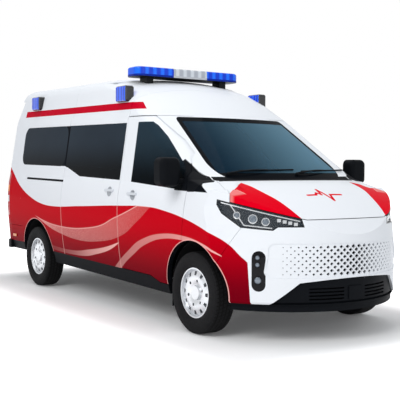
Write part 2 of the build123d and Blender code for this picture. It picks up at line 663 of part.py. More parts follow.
returns = (SHELL & return_zone) - ARCHES - block(-2700.0, 0.0, -800.0, 800.0, 300.0, 700.0)
bar = bar + returns
bar = bar - Pos(BUMPER_X, -520.0, 470.0) * Rot(0, 90, 0) * Cylinder(9.0, 80.0)
save(pieces(bar), "rear_bumper")

# floor, frame, wheel houses and mud flaps
CLEAR_DOORS = on_side(FRONT_DOOR, 1, grow=GAP + 2.0, near=850.0)
CLEAR_DOORS = CLEAR_DOORS + mirrored(CLEAR_DOORS)
floor = INNER & level_slab(FLOOR_LOW, FLOOR_TOP, REAR_FACE + 50.0, 1645.0)
floor = floor - BAYS - CLEAR_DOORS - bar
save(pieces(floor), "floor_pan")
liners = BAYS - ARCHES
front_zone = block(FRONT_X - 600.0, FRONT_X + 600.0, -895.0, 895.0, 430.0, 1500.0)
rear_zone = block(REAR_X - 600.0, REAR_X + 600.0, -1200.0, 1200.0, 380.0, 1500.0)
front_liners = (liners & front_zone) - SHELL
rear_liners = ((liners & rear_zone) & INNER) - wheel_drum(REAR_X, 60.0, 1200.0, -1200.0)
save(pieces(front_liners + rear_liners), "wheel_arch_liners")

frame = []
for side in (1, -1):
    rail_side = [(REAR_FACE + 55.0, 390.0), (2250.0, 390.0), (2250.0, FLOOR_LOW), (REAR_FACE + 55.0, FLOOR_LOW)]
    frame.append(from_side(rail_side, side * RAIL_Y + RAIL_W / 2, side * RAIL_Y - RAIL_W / 2))
for x in (REAR_FACE + 185.0, -1000.0, -250.0, 500.0, 1100.0):
    cross = [(x - 45.0, 420.0), (x + 45.0, 420.0), (x + 45.0, FLOOR_LOW), (x - 45.0, FLOOR_LOW)]
    frame.append(from_side(cross, 840.0, -840.0))
frame = frame[0].fuse(*frame[1:])
BEAM_FRONT = FRONT_X - ARCH_R - 29.0
side_beams = INNER & level_slab(330.0, 420.0, REAR_X + ARCH_R + 29.0, BEAM_FRONT)
side_beams = side_beams - block(-3000.0, 3000.0, -830.0, 830.0, 0.0, 900.0) - BAYS
side_beams = side_beams - CLEAR_DOORS
pads = []
for side in (1, -1):
    for x, z in ((1000.0, 300.0), (-1080.0, 330.0)):
        pads.append(block(x - 45.0, x + 45.0, side * 842.0 - 28.0, side * 842.0 + 28.0, z, z + 40.0))
underframe = (frame + side_beams).fuse(*pads)
save(pieces(underframe), "underframe")
FLAP_T = 8.0
flaps = block(BEAM_FRONT, BEAM_FRONT + FLAP_T, 770.0, 880.0, 165.0, 372.0)
rear_flap_x = REAR_X - ARCH_R - 15.0
flaps = flaps + block(rear_flap_x - FLAP_T, rear_flap_x, 770.0, 905.0, 190.0, 560.0)
flaps = flaps - underframe - floor - CLEAR_DOORS - BAYS - bar - sills
save(both(flaps, 20000.0), "mud_flaps")

# cab inside and bulkheads
wall = INNER & block(1645.0, 1665.0, -1200.0, 1200.0, 440.0, 1262.0)
wall = wall - BAYS - frame
divider = (INNER & block(150.0, 170.0, -1200.0, 1200.0, 500.0, 2300.0)) - level_slab(0.0, FLOOR_TOP)
hatch = from_front([(-450.0, 1250.0), (450.0, 1250.0), (450.0, 1700.0), (-450.0, 1700.0)], 100.0, 220.0, 60.0)
save(pieces(pieces(wall) + pieces(divider - hatch)), "bulkheads")
DASH_LOW = TYRE_R + ARCH_R + LINER_T + 37.0
dash_side = [(1645.0, 1262.0), (1180.0, 1160.0), (1130.0, 1060.0), (1240.0, DASH_LOW + 60.0), (1645.0, DASH_LOW)]
dash = from_side(dash_side, 870.0, -870.0, raked=False)
WHEEL_AT = Plane((1000.0, 400.0, 1085.0), x_dir=(0, 1, 0), z_dir=(-0.82, 0, 0.57))
column = WHEEL_AT * Pos(0, 0, -150.0) * Cylinder(26.0, 240.0)
shaft = WHEEL_AT * Pos(0, 0, -90.0) * Cylinder(14.0, 200.0)
save(pieces(dash + column + shaft), "dashboard")
rim = WHEEL_AT * Torus(190.0, 15.0)
spokes = WHEEL_AT * Cylinder(60.0, 40.0)
for turn in (0.0, 120.0, 240.0):
    spokes = spokes + WHEEL_AT * Rot(0, 0, turn - 90.0) * Pos(115.0, 0, 0) * Box(150.0, 34.0, 14.0)
socket = WHEEL_AT * Pos(0, 0, -29.0) * Cylinder(14.0 + PIN_FIT, 80.0)
save(pieces(rim + spokes - socket), "steering_wheel")
SEAT_PARTS = [
    (210.0, [(430.0, FLOOR_TOP), (880.0, FLOOR_TOP), (860.0, 800.0), (410.0, 790.0)]),
    (250.0, [(370.0, 770.0), (930.0, 790.0), (970.0, 850.0), (950.0, 915.0), (440.0, 880.0)]),
    (245.0, [(380.0, 780.0), (500.0, 870.0), (385.0, 1420.0), (350.0, 1450.0), (260.0, 1440.0)]),
    (135.0, [(285.0, 1430.0), (365.0, 1440.0), (355.0, 1590.0), (325.0, 1620.0), (265.0, 1610.0), (255.0, 1560.0)]),
]
seats = []
for y in (400.0, -400.0):
    parts = [from_side(side, y + half, y - half) for half, side in SEAT_PARTS]
    seats.append(parts[0].fuse(*parts[1:]))
save(pieces(seats[0] + seats[1]), "seats")
ENGINE_Y = FRONT_BAY_Y - 170.0
motor = fillet(block(1930.0, 2390.0, -ENGINE_Y, ENGINE_Y, 420.0, 960.0).edges(), 30.0)
motor = motor + block(2060.0, 2150.0, -(RAIL_Y - RAIL_W / 2), RAIL_Y - RAIL_W / 2, 400.0, 450.0)
save(pieces(motor), "engine")

# running gear: lower arms carry a king pin, the strut foot holds the knuckle's upper pin
KNUCKLE_LOW = TYRE_R - 95.0
KNUCKLE_TOP = TYRE_R + 105.0
STRUT_Y = KING_Y - 78.0
subframe = block(1450.0, 1930.0, -(RAIL_Y - 20.0), RAIL_Y - 20.0, 230.0, 300.0)
subframe = subframe + block(1660.0, 1748.0, -(KING_Y + 20.0), KING_Y + 20.0, 212.0, KNUCKLE_LOW - PIN_FIT)
for side in (1, -1):
    subframe = subframe + block(1480.0, 1560.0, side * RAIL_Y - 30.0, side * RAIL_Y + 30.0, 230.0, 400.0)
    subframe = subframe + Pos(FRONT_X, side * KING_Y, KNUCKLE_LOW) * Cylinder(KING_R, 60.0)
save(pieces(subframe - frame), "front_subframe")
struts = []
for side, name in ((1, "left"), (-1, "right")):
    upright = side_block(FRONT_X - 60.0, FRONT_X + 60.0, side, KING_Y - 85.0, KING_Y + 22.0, KNUCKLE_LOW, KNUCKLE_TOP)
    upright = upright - Pos(FRONT_X, side * KING_Y, KNUCKLE_LOW) * Cylinder(KING_R + PIN_FIT, 62.0)
    upright = upright + Pos(FRONT_X, side * KING_Y, KNUCKLE_TOP) * Cylinder(KING_R, 60.0)
    ends = sorted((side * (KING_Y - 40.0), side * (TRACK_Y + 18.0)))
    save(pieces(upright + wheel_drum(FRONT_X, SPINDLE_R, ends[1], ends[0])), "knuckle_" + name)
    foot_z = KNUCKLE_TOP + PIN_FIT
    foot = side_block(FRONT_X - 32.0, FRONT_X + 32.0, side, KING_Y - 100.0, KING_Y + 18.0, foot_z, foot_z + 27.7)
    foot = foot - Pos(FRONT_X, side * KING_Y, KNUCKLE_TOP) * Cylinder(KING_R + PIN_FIT, 80.0)
    leg = Pos(FRONT_X, side * STRUT_Y, 640.0) * Cylinder(26.0, 320.0) + foot
    leg = leg + Pos(FRONT_X, side * STRUT_Y, 700.0) * Cylinder(52.0, 210.0)
    struts.append(leg & ARCHES)
save(pieces(struts[0] + struts[1]), "front_struts")
AXLE_Y = TRACK_Y - 112.0
SPRING_Y = REAR_BAY_Y - 70.0
HANGER_Y = (SPRING_Y + RAIL_Y) / 2 + 20.0
axle = wheel_drum(REAR_X, 45.0, AXLE_Y, -AXLE_Y)
axle = axle + wheel_drum(REAR_X, SPINDLE_R, TRACK_Y + 18.0, -(TRACK_Y + 18.0))
leaf_side = [
    (REAR_X - 666.0, 420.0), (REAR_X, 300.0), (REAR_X + 654.0, 420.0), (REAR_X + 654.0, 450.0), (REAR_X, 330.0),
    (REAR_X - 666.0, 450.0),
]
for side in (1, -1):
    axle = axle + from_side(leaf_side, side * SPRING_Y + 32.0, side * SPRING_Y - 32.0, raked=False)
    for x in (REAR_X - 656.0, REAR_X + 644.0):
        axle = axle + block(x - 30.0, x + 30.0, side * HANGER_Y - 72.0, side * HANGER_Y + 72.0, 420.0, 500.0)
save(pieces(axle - frame), "rear_axle")
tank_side = [(-985.0, 275.0), (-265.0, 275.0), (-265.0, 420.0), (-985.0, 420.0)]
save(from_side(tank_side, RAIL_Y - 80.0, 80.0 - RAIL_Y, radius=24.0), "fuel_tank")

# wheels: round-sided tyre, pressed disc with a ring of slots and a ring of holes
SIDEWALL = TYRE_W / 2
tyre_face = face_of(
    (RIM_R + 1.0, HUB_W / 2),
    [((285.0, SIDEWALL), (332.0, 98.0)), (345.5, 86.0), (TYRE_R, 64.0), (TYRE_R, -64.0), (345.5, -86.0),
     (332.0, -98.0), ((285.0, -SIDEWALL), (RIM_R + 1.0, -HUB_W / 2))])
tyre = revolve(tyre_face, axis=Axis.Y)
HUB_BORE = SPINDLE_R + PIN_FIT
rim_face = face_of(
    (190.0, -HUB_W / 2),
    [(RIM_R + 1.0, -HUB_W / 2), (RIM_R + 1.0, HUB_W / 2), (204.0, HUB_W / 2), (196.0, 62.0),
     ((130.0, 78.0), (74.0, 68.0)), (64.0, 66.0), (58.0, 80.0), (0.0, 80.0), (0.0, 50.0),
     (HUB_BORE, 50.0), (HUB_BORE, -70.0), (78.0, -70.0), (78.0, 48.0), (190.0, 46.0)])
rim_solid = revolve(rim_face, axis=Axis.Y)
DISC_SLOTS = 12
DISC_HOLES = 6
cuts = []
slot_face = make_face(Polyline((150.0, -13.0), (184.0, -18.0), (184.0, 18.0), (150.0, 13.0), close=True))
for k in range(DISC_SLOTS):
    cuts.append(Rot(0, 360.0 * k / DISC_SLOTS, 0) * extrude(Plane.XZ.offset(-110.0) * slot_face, amount=80.0))
for k in range(DISC_HOLES):
    at = Rot(0, 360.0 * (k + 0.25) / DISC_HOLES, 0)
    cuts.append(at * extrude(Plane.XZ.offset(-110.0) * Pos(107.0, 0) * Circle(13.0), amount=80.0))
rim_solid = rim_solid.cut(*cuts)
for x, end in ((FRONT_X, "front"), (REAR_X, "rear")):
    for side, name in ((1, "left"), (-1, "right")):
        place = Pos(x, side * TRACK_Y, TYRE_R) * Rot(0, 0, 0 if side > 0 else 180)
        save(pieces(place * tyre), "tyre_" + end + "_" + name)
        save(pieces(place * rim_solid), "wheel_" + end + "_" + name)

# emergency lamps
BAR_X = 30.0
BAR_LOW = ROOF_Z - 3.0
BAR_LONG = 1290.0
tray = fillet((Pos(BAR_X, 0, BAR_LOW + 11.0) * Box(270.0, BAR_LONG, 22.0)).edges().filter_by(Axis.Z), 90.0)
for side in (1, -1):
    tray = tray + side_block(BAR_X - 70.0, BAR_X + 70.0, side, 420.0, 500.0, ROOF_Z - 150.0, ROOF_Z)
save(pieces(tray - OUTER), "light_bar_base")
dome = fillet((Pos(BAR_X, 0, BAR_LOW + 60.0) * Box(270.0, BAR_LONG, 76.0)).edges().filter_by(Axis.Z), 90.0)
dome = fillet(dome.faces().sort_by(Axis.Z)[-1].edges(), 22.0)
for y in (210.0, -210.0):
    dome = dome - block(-200.0, 300.0, y - 1.5, y + 1.5, ROOF_Z - 100.0, ROOF_Z + 200.0)
save(pieces(dome), "light_bar_lenses")
beacons = []
for x in (235.0, -1930.0):
    lamp = Pos(x, 830.0, drop(x, ROOF_Z - 206.0)) * Box(210.0, 110.0, 160.0)
    beacons.append(fillet(lamp.edges(), 24.0))
save(both((beacons[0] + beacons[1]) - OUTER), "side_beacons")
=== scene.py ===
import math

import bpy
from mathutils import Matrix, Vector


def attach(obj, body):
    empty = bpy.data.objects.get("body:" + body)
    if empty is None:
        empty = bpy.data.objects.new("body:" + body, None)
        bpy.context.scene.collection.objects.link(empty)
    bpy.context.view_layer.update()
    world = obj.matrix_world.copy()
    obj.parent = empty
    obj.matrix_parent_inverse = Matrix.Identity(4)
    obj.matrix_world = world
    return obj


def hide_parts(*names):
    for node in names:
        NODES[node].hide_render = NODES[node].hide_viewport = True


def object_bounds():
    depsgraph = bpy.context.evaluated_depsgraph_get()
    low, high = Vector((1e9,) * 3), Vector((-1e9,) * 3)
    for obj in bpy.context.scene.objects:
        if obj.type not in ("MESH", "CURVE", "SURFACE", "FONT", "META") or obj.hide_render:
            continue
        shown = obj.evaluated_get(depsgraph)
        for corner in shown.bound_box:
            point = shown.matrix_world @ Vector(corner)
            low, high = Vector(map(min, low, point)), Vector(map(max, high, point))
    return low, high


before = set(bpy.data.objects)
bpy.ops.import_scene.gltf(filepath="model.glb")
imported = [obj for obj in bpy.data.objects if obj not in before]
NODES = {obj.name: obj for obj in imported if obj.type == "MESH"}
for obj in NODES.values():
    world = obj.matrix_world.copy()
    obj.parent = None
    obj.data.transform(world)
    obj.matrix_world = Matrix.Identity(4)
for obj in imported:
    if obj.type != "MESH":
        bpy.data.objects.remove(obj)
CAD_BOX = [list(corner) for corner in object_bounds()]
SIDES = ((1, "left"), (-1, "right"))

# camera, fitted to the photograph
CAMERA_AT = Vector((7.4817, -4.7835, 1.4172))
CAMERA_YAW = math.radians(56.125)
CAMERA_PITCH = math.radians(2.297)
CAMERA_ROLL = math.radians(0.328)
SENSOR_MM = 36.0
LENS_MM = 73.87

# light: the surround's strength, and the floor's glow under the van, which turns white GLOW_REACH outside it
WORLD_LIGHT = 0.50
WORLD_TINT = (0.93, 0.96, 1.0, 1.0)
FLOOR_WHITE = (0.95, 0.95, 0.95)
FLOOR_HALF = 60.0
FLOOR_GLOW = 0.06
GLOW_REACH = 0.8
LAMP_AIM = Vector((0.0, 0.0, 1.0))
# lamps: name, place, watts, width
LAMPS = [
    ("key", Vector((4.5, -8.0, 6.5)), 430.0, 5.0),
    ("front", Vector((10.0, 1.0, 5.0)), 150.0, 5.0),
    ("top", Vector((-1.0, 0.0, 9.0)), 230.0, 7.0),
]

WHITE = (0.82, 0.845, 0.88)
RED_HIGH = (0.56, 0.0, 0.008)
RED_LOW = (0.17, 0.0, 0.006)
BLADE_RED = (0.74, 0.0, 0.012)
STRIPE_RED = (0.55, 0.0, 0.018)
PALE_PINK = (0.93, 0.50, 0.46)
BLACK_TRIM = (0.006, 0.007, 0.009)
STRIP_BLACK = (0.004, 0.006, 0.010)
# painted shade in the door handles' dishes
DISH_SHADE = (0.40, 0.42, 0.45)
BAR_GREY = (0.66, 0.69, 0.73)
LINING_GREY = (0.30, 0.31, 0.33)

# From here on places are in metres. A pair named as an edge or a fade runs from the share 0 to the share 1.
# The body stands nose down by RAKE per metre forward, and a level is a height with that taken out.
# EDGE is half the width of a soft edge between two colours.
RAKE = 0.015
EDGE = 0.003
WHEEL_XS = (1.704, -1.664)
WHEEL_Y = 0.872
WHEEL_Z = 0.350
TREAD_EDGE = (0.338, 0.344)
ARCH_R = 0.445
# arch rim: a painted highlight as a thin pale line, and painted shade as black on the lip inside it
ARCH_HIGHLIGHT = (ARCH_R + 0.003, ARCH_R + 0.010)
ARCH_LIP_SHADE_EDGE = (ARCH_R + 0.003, ARCH_R + 0.001)
DOOR_SEAMS = (0.400, -0.920)
# beside the door seams: painted highlights as pale lines on the rounded door edges
SEAM_HIGHLIGHT_EDGE = (0.0085, 0.0065)
# black strip that joins the side windows: along the van, and its levels
STRIP_X = (-1.030, -0.900)
STRIP_LEVEL = (1.405, 1.851)
# black sail ahead of the door glass: foot, brow (slope along x, level at x = 0) and rear end
SAIL_FOOT_EDGE = (1.234, 1.238)
SAIL_BROW = (-0.535, 2.262)
SAIL_REAR_EDGE = (1.40, 1.41)
# door handles: x, z, and whether on both sides or on the right only; the bar lies above the dish's middle
HANDLES = ((0.212, 1.170, False), (0.680, 1.149, True))
DISH_R = 0.051
BAR_HALF_LONG = 0.088
BAR_HALF_TALL = 0.013
BAR_UP = 0.012
# grey lining inside: doors and side walls behind LINING_FRONT, rear doors behind LINING_REAR
LINING_FRONT = 1.62
LINING_REAR = -2.40
# roof stripe: levels, slanted front end (slope by level, x at level 0) and rear end
STRIPE_LEVEL = (1.985, 2.058)
STRIPE_FRONT = (-1.6, 3.80)
STRIPE_REAR_EDGE = (-2.285, -2.280)
# windscreen: half width (slope by height, width at height 0) and the edges of its black border
SCREEN_HALF = (-0.2017, 1.0165)
SCREEN_SIDE_EDGE = (0.045, 0.040)
SCREEN_LOW_EDGE = (1.372, 1.366)
SCREEN_HIGH_EDGE = (1.846, 1.852)
# its outer face is a cone round an upright axis: (level, radius) at the foot and at the head
SCREEN_AXIS_X = -1.0
SCREEN_FOOT = (1.335, 2.85)
SCREEN_HEAD = (1.925, 1.94)
# nose: an upright axis, and (height, radius) rows of its skin
NOSE_X = 1.58
NOSE_ROWS = [(0.70, 1.085), (0.95, 1.065), (1.10, 1.045)]
# emergency lamps
BAR_FOOT_EDGE = (2.348, 2.350)
BAR_BLUE_EDGE = (0.208, 0.212)
BEACON_XS = (0.235, -1.930)
BEACON_Z = 2.144
BEACON_LONG_EDGE = (0.095, 0.098)
BEACON_TALL_EDGE = (0.070, 0.073)
# tail lamp fields, by height
TAIL_AMBER = (1.10, 1.18)
TAIL_CLEAR = (0.97, 1.05)

# livery edges on the sides: x along the van, z above the ground
# the red darkens towards the bottom between these heights, from RED_HIGH down to RED_LOW: painted shade
RED_SHADE_FADE = (0.35, 0.95)
RED_TOP = [
    (-2.70, 1.52), (-2.35, 1.292), (-2.07, 1.148), (-1.80, 1.055), (-1.50, 0.990), (-1.20, 0.968),
    (-0.43, 0.998), (0.40, 1.038), (1.03, 1.051), (1.30, 1.027), (1.54, 0.992), (1.85, 0.921),
    (2.03, 0.858), (2.13, 0.804), (2.23, 0.708), (2.285, 0.645), (2.30, 0.30), (2.70, 0.10),
]
SWOOSH_HIGH = [
    (-2.11, 1.035), (-1.57, 0.82), (-0.865, 0.752), (-0.225, 0.786), (0.349, 0.923), (0.80, 1.06),
]
SWOOSH_LOW = [
    (-2.11, 1.025), (-1.426, 0.768), (-0.948, 0.668), (-0.435, 0.63), (-0.013, 0.656), (0.383, 0.725),
    (0.777, 0.898), (1.015, 1.041), (1.2, 1.16),
]
CRESCENT_HIGH = [(-1.50, 0.55), (-0.796, 0.502), (-0.276, 0.548), (0.415, 0.682)]
CRESCENT_LOW = [(-1.50, 0.49), (-0.548, 0.461), (-0.107, 0.516), (0.415, 0.676)]
ARCH_BAND_HIGH = [
    (0.20, 0.37), (0.291, 0.438), (0.57, 0.603), (0.889, 0.751), (1.258, 0.824), (1.556, 0.829),
    (1.844, 0.792), (2.10, 0.70),
]
ARCH_BAND_LOW = [
    (0.32, 0.34), (0.401, 0.423), (0.693, 0.59), (0.953, 0.708), (1.254, 0.779), (1.55, 0.79),
    (1.844, 0.765), (2.10, 0.693),
]
# strength of each pale band along the van
SWOOSH_SHARE = [(-2.2, 0.95), (-1.4, 0.8), (-0.9, 0.5), (0.2, 0.36), (1.1, 0.15)]
CRESCENT_SHARE = [(-1.5, 0.05), (-0.9, 0.15), (-0.2, 0.6), (0.4, 0.95)]
ARCH_BAND_SHARE = [(0.2, 0.35), (1.0, 0.45), (1.5, 0.6), (2.1, 0.95)]
# pale bands: upper edge, lower edge, reach along the van, strength, dotted with a bright rim
PALE_BANDS = [
    (SWOOSH_HIGH, SWOOSH_LOW, (-2.11, 1.05), SWOOSH_SHARE, True),
    (CRESCENT_HIGH, CRESCENT_LOW, (-1.5, 0.415), CRESCENT_SHARE, False),
    (ARCH_BAND_HIGH, ARCH_BAND_LOW, (0.2, 2.10), ARCH_BAND_SHARE, False),
]
BAND_END = 0.01
BAND_RIM_EDGE = (0.016, 0.008)
DOT_SCALE = 95.0
DOT_EDGE = (0.55, 0.25)

# bonnet blades: inner edge as (x, distance from the middle), then lines as (slope, start)
BLADE_EDGE = [
    (1.88, 0.63), (2.003, 0.606), (2.124, 0.59), (2.30, 0.537), (2.41, 0.507), (2.52, 0.472), (2.60, 0.44),
]
BLADE_REAR = (0.75, 1.44)
# the blade's outer side beyond this fold is painted paler as painted light, with a painted highlight along
# the fold line
BLADE_FOLD = (-0.30, 1.405)
FOLD_LINE = (-0.010, -0.001)
FOLD_END_EDGE = (2.16, 2.13)
# bonnet motif: a plain pulse line, as points across the van and along it
PULSE = [
    (-0.19, 2.262), (-0.095, 2.262), (-0.065, 2.228), (-0.035, 2.262), (-0.012, 2.165), (0.030, 2.352),
    (0.062, 2.262), (0.19, 2.262),
]
PULSE_EDGE = (0.013, 0.011)

# seats: pads as name, size (wide, long, thick), x, z, tilt in degrees, sewn channels
SEAT_Y = 0.40
PADS = [
    ("cushion", (0.50, 0.54, 0.13), 0.700, 0.852, -4.0, (-0.62, 0.62)),
    ("back", (0.49, 0.60, 0.13), 0.375, 1.140, -103.0, (-0.60, 0.60)),
    ("headrest", (0.27, 0.17, 0.10), 0.308, 1.522, -98.0, ()),
]
CROSS_SEAMS = (-0.35, 0.30)
# seat bars: x, distance out from the seat's middle, z, width, thickness; a post has a sleeve at its foot
HEADREST_POST = [
    (0.330, 0.05, 1.380, 0.024, 0.024), (0.326, 0.05, 1.402, 0.024, 0.024),
    (0.325, 0.05, 1.405, 0.012, 0.012), (0.318, 0.05, 1.450, 0.012, 0.012),
    (0.310, 0.05, 1.500, 0.012, 0.012),
]
SEAT_SIDE = [
    (0.40, 0.235, 0.80, 0.030, 0.09), (0.62, 0.242, 0.79, 0.035, 0.10), (0.90, 0.235, 0.80, 0.030, 0.07),
]
SEAT_BASE = [
    (0.43, 0.0, 0.665, 0.36, 0.240), (0.48, 0.0, 0.665, 0.40, 0.255), (0.82, 0.0, 0.665, 0.40, 0.255),
    (0.87, 0.0, 0.665, 0.36, 0.240),
]

# lens domes: place across the 45 degree view, height, radius
LAMP_UNITS = [(0.925, 1.030, 0.024), (1.058, 1.003, 0.032), (1.162, 0.983, 0.027)]
FOG_UNITS = [(1.102, 0.697, 0.019), (1.102, 0.640, 0.019), (1.106, 0.515, 0.029)]
# lens groups: name, domes, depth below the skin, rise
LENS_GROUPS = [("lamp", LAMP_UNITS, 0.021, 0.010), ("fog", FOG_UNITS, 0.013, 0.006)]

# wipers: name, pivot and blade's middle as (y, z), half length of the blade
WIPERS = [
    ("right", (-0.62, 1.352), (-0.20, 1.384), 0.30),
    ("left", (0.10, 1.352), (0.50, 1.382), 0.32),
]
WIPER_UP = (0.6, 0.0, 0.8)
ARM_WIDTHS = [(0.022, 0.012)] * 2 + [(0.016, 0.009)] * 3 + [(0.012, 0.008)] * 2
ARM_LIFT = 0.016
ARM_ARCH = 0.012
BLADE_WIDTHS = [(0.010, 0.014)] * 13
BLADE_LIFT = 0.010
BLADE_RISE = 0.012
PIVOT_PROFILE = [(0.016, -0.004), (0.018, 0.006), (0.014, 0.020), (0.006, 0.024)]

# mirror glass and amber reflectors: places, and width, height and corner radius
MIRROR_AT = (1.4352, 1.100, 1.375)
MIRROR_SIZE = (0.165, 0.205, 0.045)
REFLECTOR_AT = (-2.36, 0.9735, 0.555)
REFLECTOR_SIZE = (0.110, 0.034, 0.012)

# rear door handle: a bar that arches over a shallow cup
REAR_DOOR = "rear_door_right"
HANDLE_FROM = (-4.0, -0.120, 1.100)
CUP_SIZE = (0.170, 0.075, 0.030)
REAR_BAR_HALF = 0.066
REAR_BAR_LIFT = 0.009
REAR_BAR_RISE = 0.020
REAR_BAR_WIDTH = (0.024, 0.010)
REAR_BAR_SHARES = (-1.0, -0.85, -0.5, 0.0, 0.5, 0.85, 1.0)

# sheet behind the lower grille: (height, depth) rows, half its turn round the nose, thickness and ribs
SHEET_ROWS = [(0.330, 0.052), (0.345, 0.060), (0.470, 0.060), (0.485, 0.052)]
SHEET_TURN = 0.47
SHEET_THICK = 0.004
SHEET_RIB = 0.004
SHEET_STEPS = 48


class Shader:
    """A material being built: sockets or numbers go in, sockets come out."""

    def __init__(self, name, **values):
        self.material = bpy.data.materials.new(name)
        self.material.use_nodes = True
        self.tree = self.material.node_tree
        self.surface = self.tree.nodes["Principled BSDF"]
        for socket, value in values.items():
            self.set(socket.replace("_", " "), value)

    def add(self, kind, **settings):
        node = self.tree.nodes.new(kind)
        for key, value in settings.items():
            setattr(node, key, value)
        return node

    def feed(self, target, value):
        """Links a socket to a target, or sets a number or a colour on it."""
        if isinstance(value, bpy.types.NodeSocket):
            self.tree.links.new(value, target)
        elif isinstance(value, tuple):
            target.default_value = (*value, 1.0)
        else:
            target.default_value = value

    def set(self, socket, value):
        self.feed(self.surface.inputs[socket], value)

    def math(self, operation, *values):
        node = self.add("ShaderNodeMath", operation=operation)
        for target, value in zip(node.inputs, values):
            self.feed(target, value)
        return node.outputs[0]

    def length(self, across, up):
        """Length of an offset given as two parts at right angles."""
        return self.math("SQRT", self.math("MULTIPLY_ADD", across, across, self.math("MULTIPLY", up, up)))

    def coordinates(self, kind):
        return self.add("ShaderNodeTexCoord").outputs[kind]

    def split(self, vector):
        node = self.add("ShaderNodeSeparateXYZ")
        self.feed(node.inputs[0], vector)
        return node.outputs[0], node.outputs[1], node.outputs[2]

    def place(self):
        """x, y and z in the part's frame, at rest."""
        return self.split(self.coordinates("Object"))

    def facing(self):
        """The way that the surface faces at rest, as x, y and z."""
        return self.split(self.coordinates("Normal"))

    def step(self, value, low, high):
        """0 at low, 1 at high, smooth in between; low may be the larger."""
        node = self.add("ShaderNodeMapRange", interpolation_type="SMOOTHSTEP")
        self.feed(node.inputs["Value"], value)
        self.feed(node.inputs["From Min"], low)
        self.feed(node.inputs["From Max"], high)
        return node.outputs[0]

    def band(self, value, low, high, soft=0.0015):
        """1 between low and high, 0 outside."""
        inside = self.step(value, low - soft, low + soft)
        return self.math("MULTIPLY", inside, self.step(value, high + soft, high - soft))

    def line(self, value, slope, start):
        return self.math("MULTIPLY_ADD", value, slope, start)

    def curve(self, value, points):
        """A smooth curve through points, scaled into the curve node's unit square and back."""
        xs = [p[0] for p in points]
        zs = [p[1] for p in points]
        x0, x1, z0, z1 = min(xs), max(xs), min(zs), max(zs)
        share = self.add("ShaderNodeMapRange")
        self.feed(share.inputs["Value"], value)
        self.feed(share.inputs["From Min"], x0)
        self.feed(share.inputs["From Max"], x1)
        node = self.add("ShaderNodeFloatCurve")
        line = node.mapping.curves[0]
        places = [((x - x0) / (x1 - x0), (z - z0) / (z1 - z0)) for x, z in points]
        line.points[0].location = places[0]
        line.points[1].location = places[-1]
        for place in places[1:-1]:
            line.points.new(*place)
        node.mapping.update()
        self.feed(node.inputs["Value"], share.outputs[0])
        return self.line(node.outputs[0], z1 - z0, z0)

    def mix(self, share, first, second):
        node = self.add("ShaderNodeMix", data_type="RGBA")
        self.feed(node.inputs["Factor"], share)
        self.feed(node.inputs[6], first)
        self.feed(node.inputs[7], second)
        return node.outputs[2]

    def noise(self, scale, detail=2.0):
        node = self.add("ShaderNodeTexNoise")
        node.inputs["Scale"].default_value = scale
        node.inputs["Detail"].default_value = detail
        self.feed(node.inputs["Vector"], self.coordinates("Object"))
        return node.outputs[0]

    def bump(self, height, distance, strength):
        node = self.add("ShaderNodeBump")
        node.inputs["Distance"].default_value = distance
        node.inputs["Strength"].default_value = strength
        self.feed(node.inputs["Height"], height)
        self.set("Normal", node.outputs[0])


# painted finishes: each colour function returns a colour socket

def pale_band(shader, x, z, colour, high, low, reach, shares, dotted):
    """Adds one pale band of the livery to a colour."""
    m = shader.math
    over = m("SUBTRACT", z, shader.curve(x, low))
    short = m("SUBTRACT", shader.curve(x, high), z)
    inside = m("MULTIPLY", shader.step(over, -EDGE, EDGE), shader.step(short, -EDGE, EDGE))
    inside = m("MULTIPLY", inside, shader.step(x, reach[0], reach[0] + BAND_END))
    inside = m("MULTIPLY", inside, shader.step(x, reach[1], reach[1] - BAND_END))
    share = m("MULTIPLY", inside, shader.curve(x, shares))
    if dotted:
        dots = shader.add("ShaderNodeTexVoronoi", feature="F1")
        dots.inputs["Scale"].default_value = DOT_SCALE
        shader.feed(dots.inputs["Vector"], shader.coordinates("Object"))
        speck = shader.step(dots.outputs["Distance"], *DOT_EDGE)
        share = m("MULTIPLY", share, shader.line(speck, 0.45, 0.62))
        rim = m("MULTIPLY", inside, shader.step(short, *BAND_RIM_EDGE))
        share = m("MAXIMUM", share, m("MULTIPLY", rim, 0.75))
    return shader.mix(share, colour, PALE_PINK)


def edge_highlights_and_lip_shade(shader, x, z, colour):
    """Adds painted highlights as thin pale lines on the rounded edges round the wheel arches and beside the
    door seams, and painted shade as black on the arches' inward lips.
    """
    m = shader.math
    for wheel_x in WHEEL_XS:
        gap = shader.length(m("SUBTRACT", x, wheel_x), m("SUBTRACT", z, WHEEL_Z))
        # painted highlight along the arch rim, then painted shade in black on its inward lip
        colour = shader.mix(m("MULTIPLY", shader.band(gap, *ARCH_HIGHLIGHT), 0.85), colour, PALE_PINK)
        colour = shader.mix(shader.step(gap, *ARCH_LIP_SHADE_EDGE), colour, BLACK_TRIM)
    for seam in DOOR_SEAMS:
        off = m("ABSOLUTE", m("SUBTRACT", x, seam))
        # painted highlight on the rounded door edges beside the seam
        colour = shader.mix(m("MULTIPLY", shader.step(off, *SEAM_HIGHLIGHT_EDGE), 0.55), colour, PALE_PINK)
    return colour


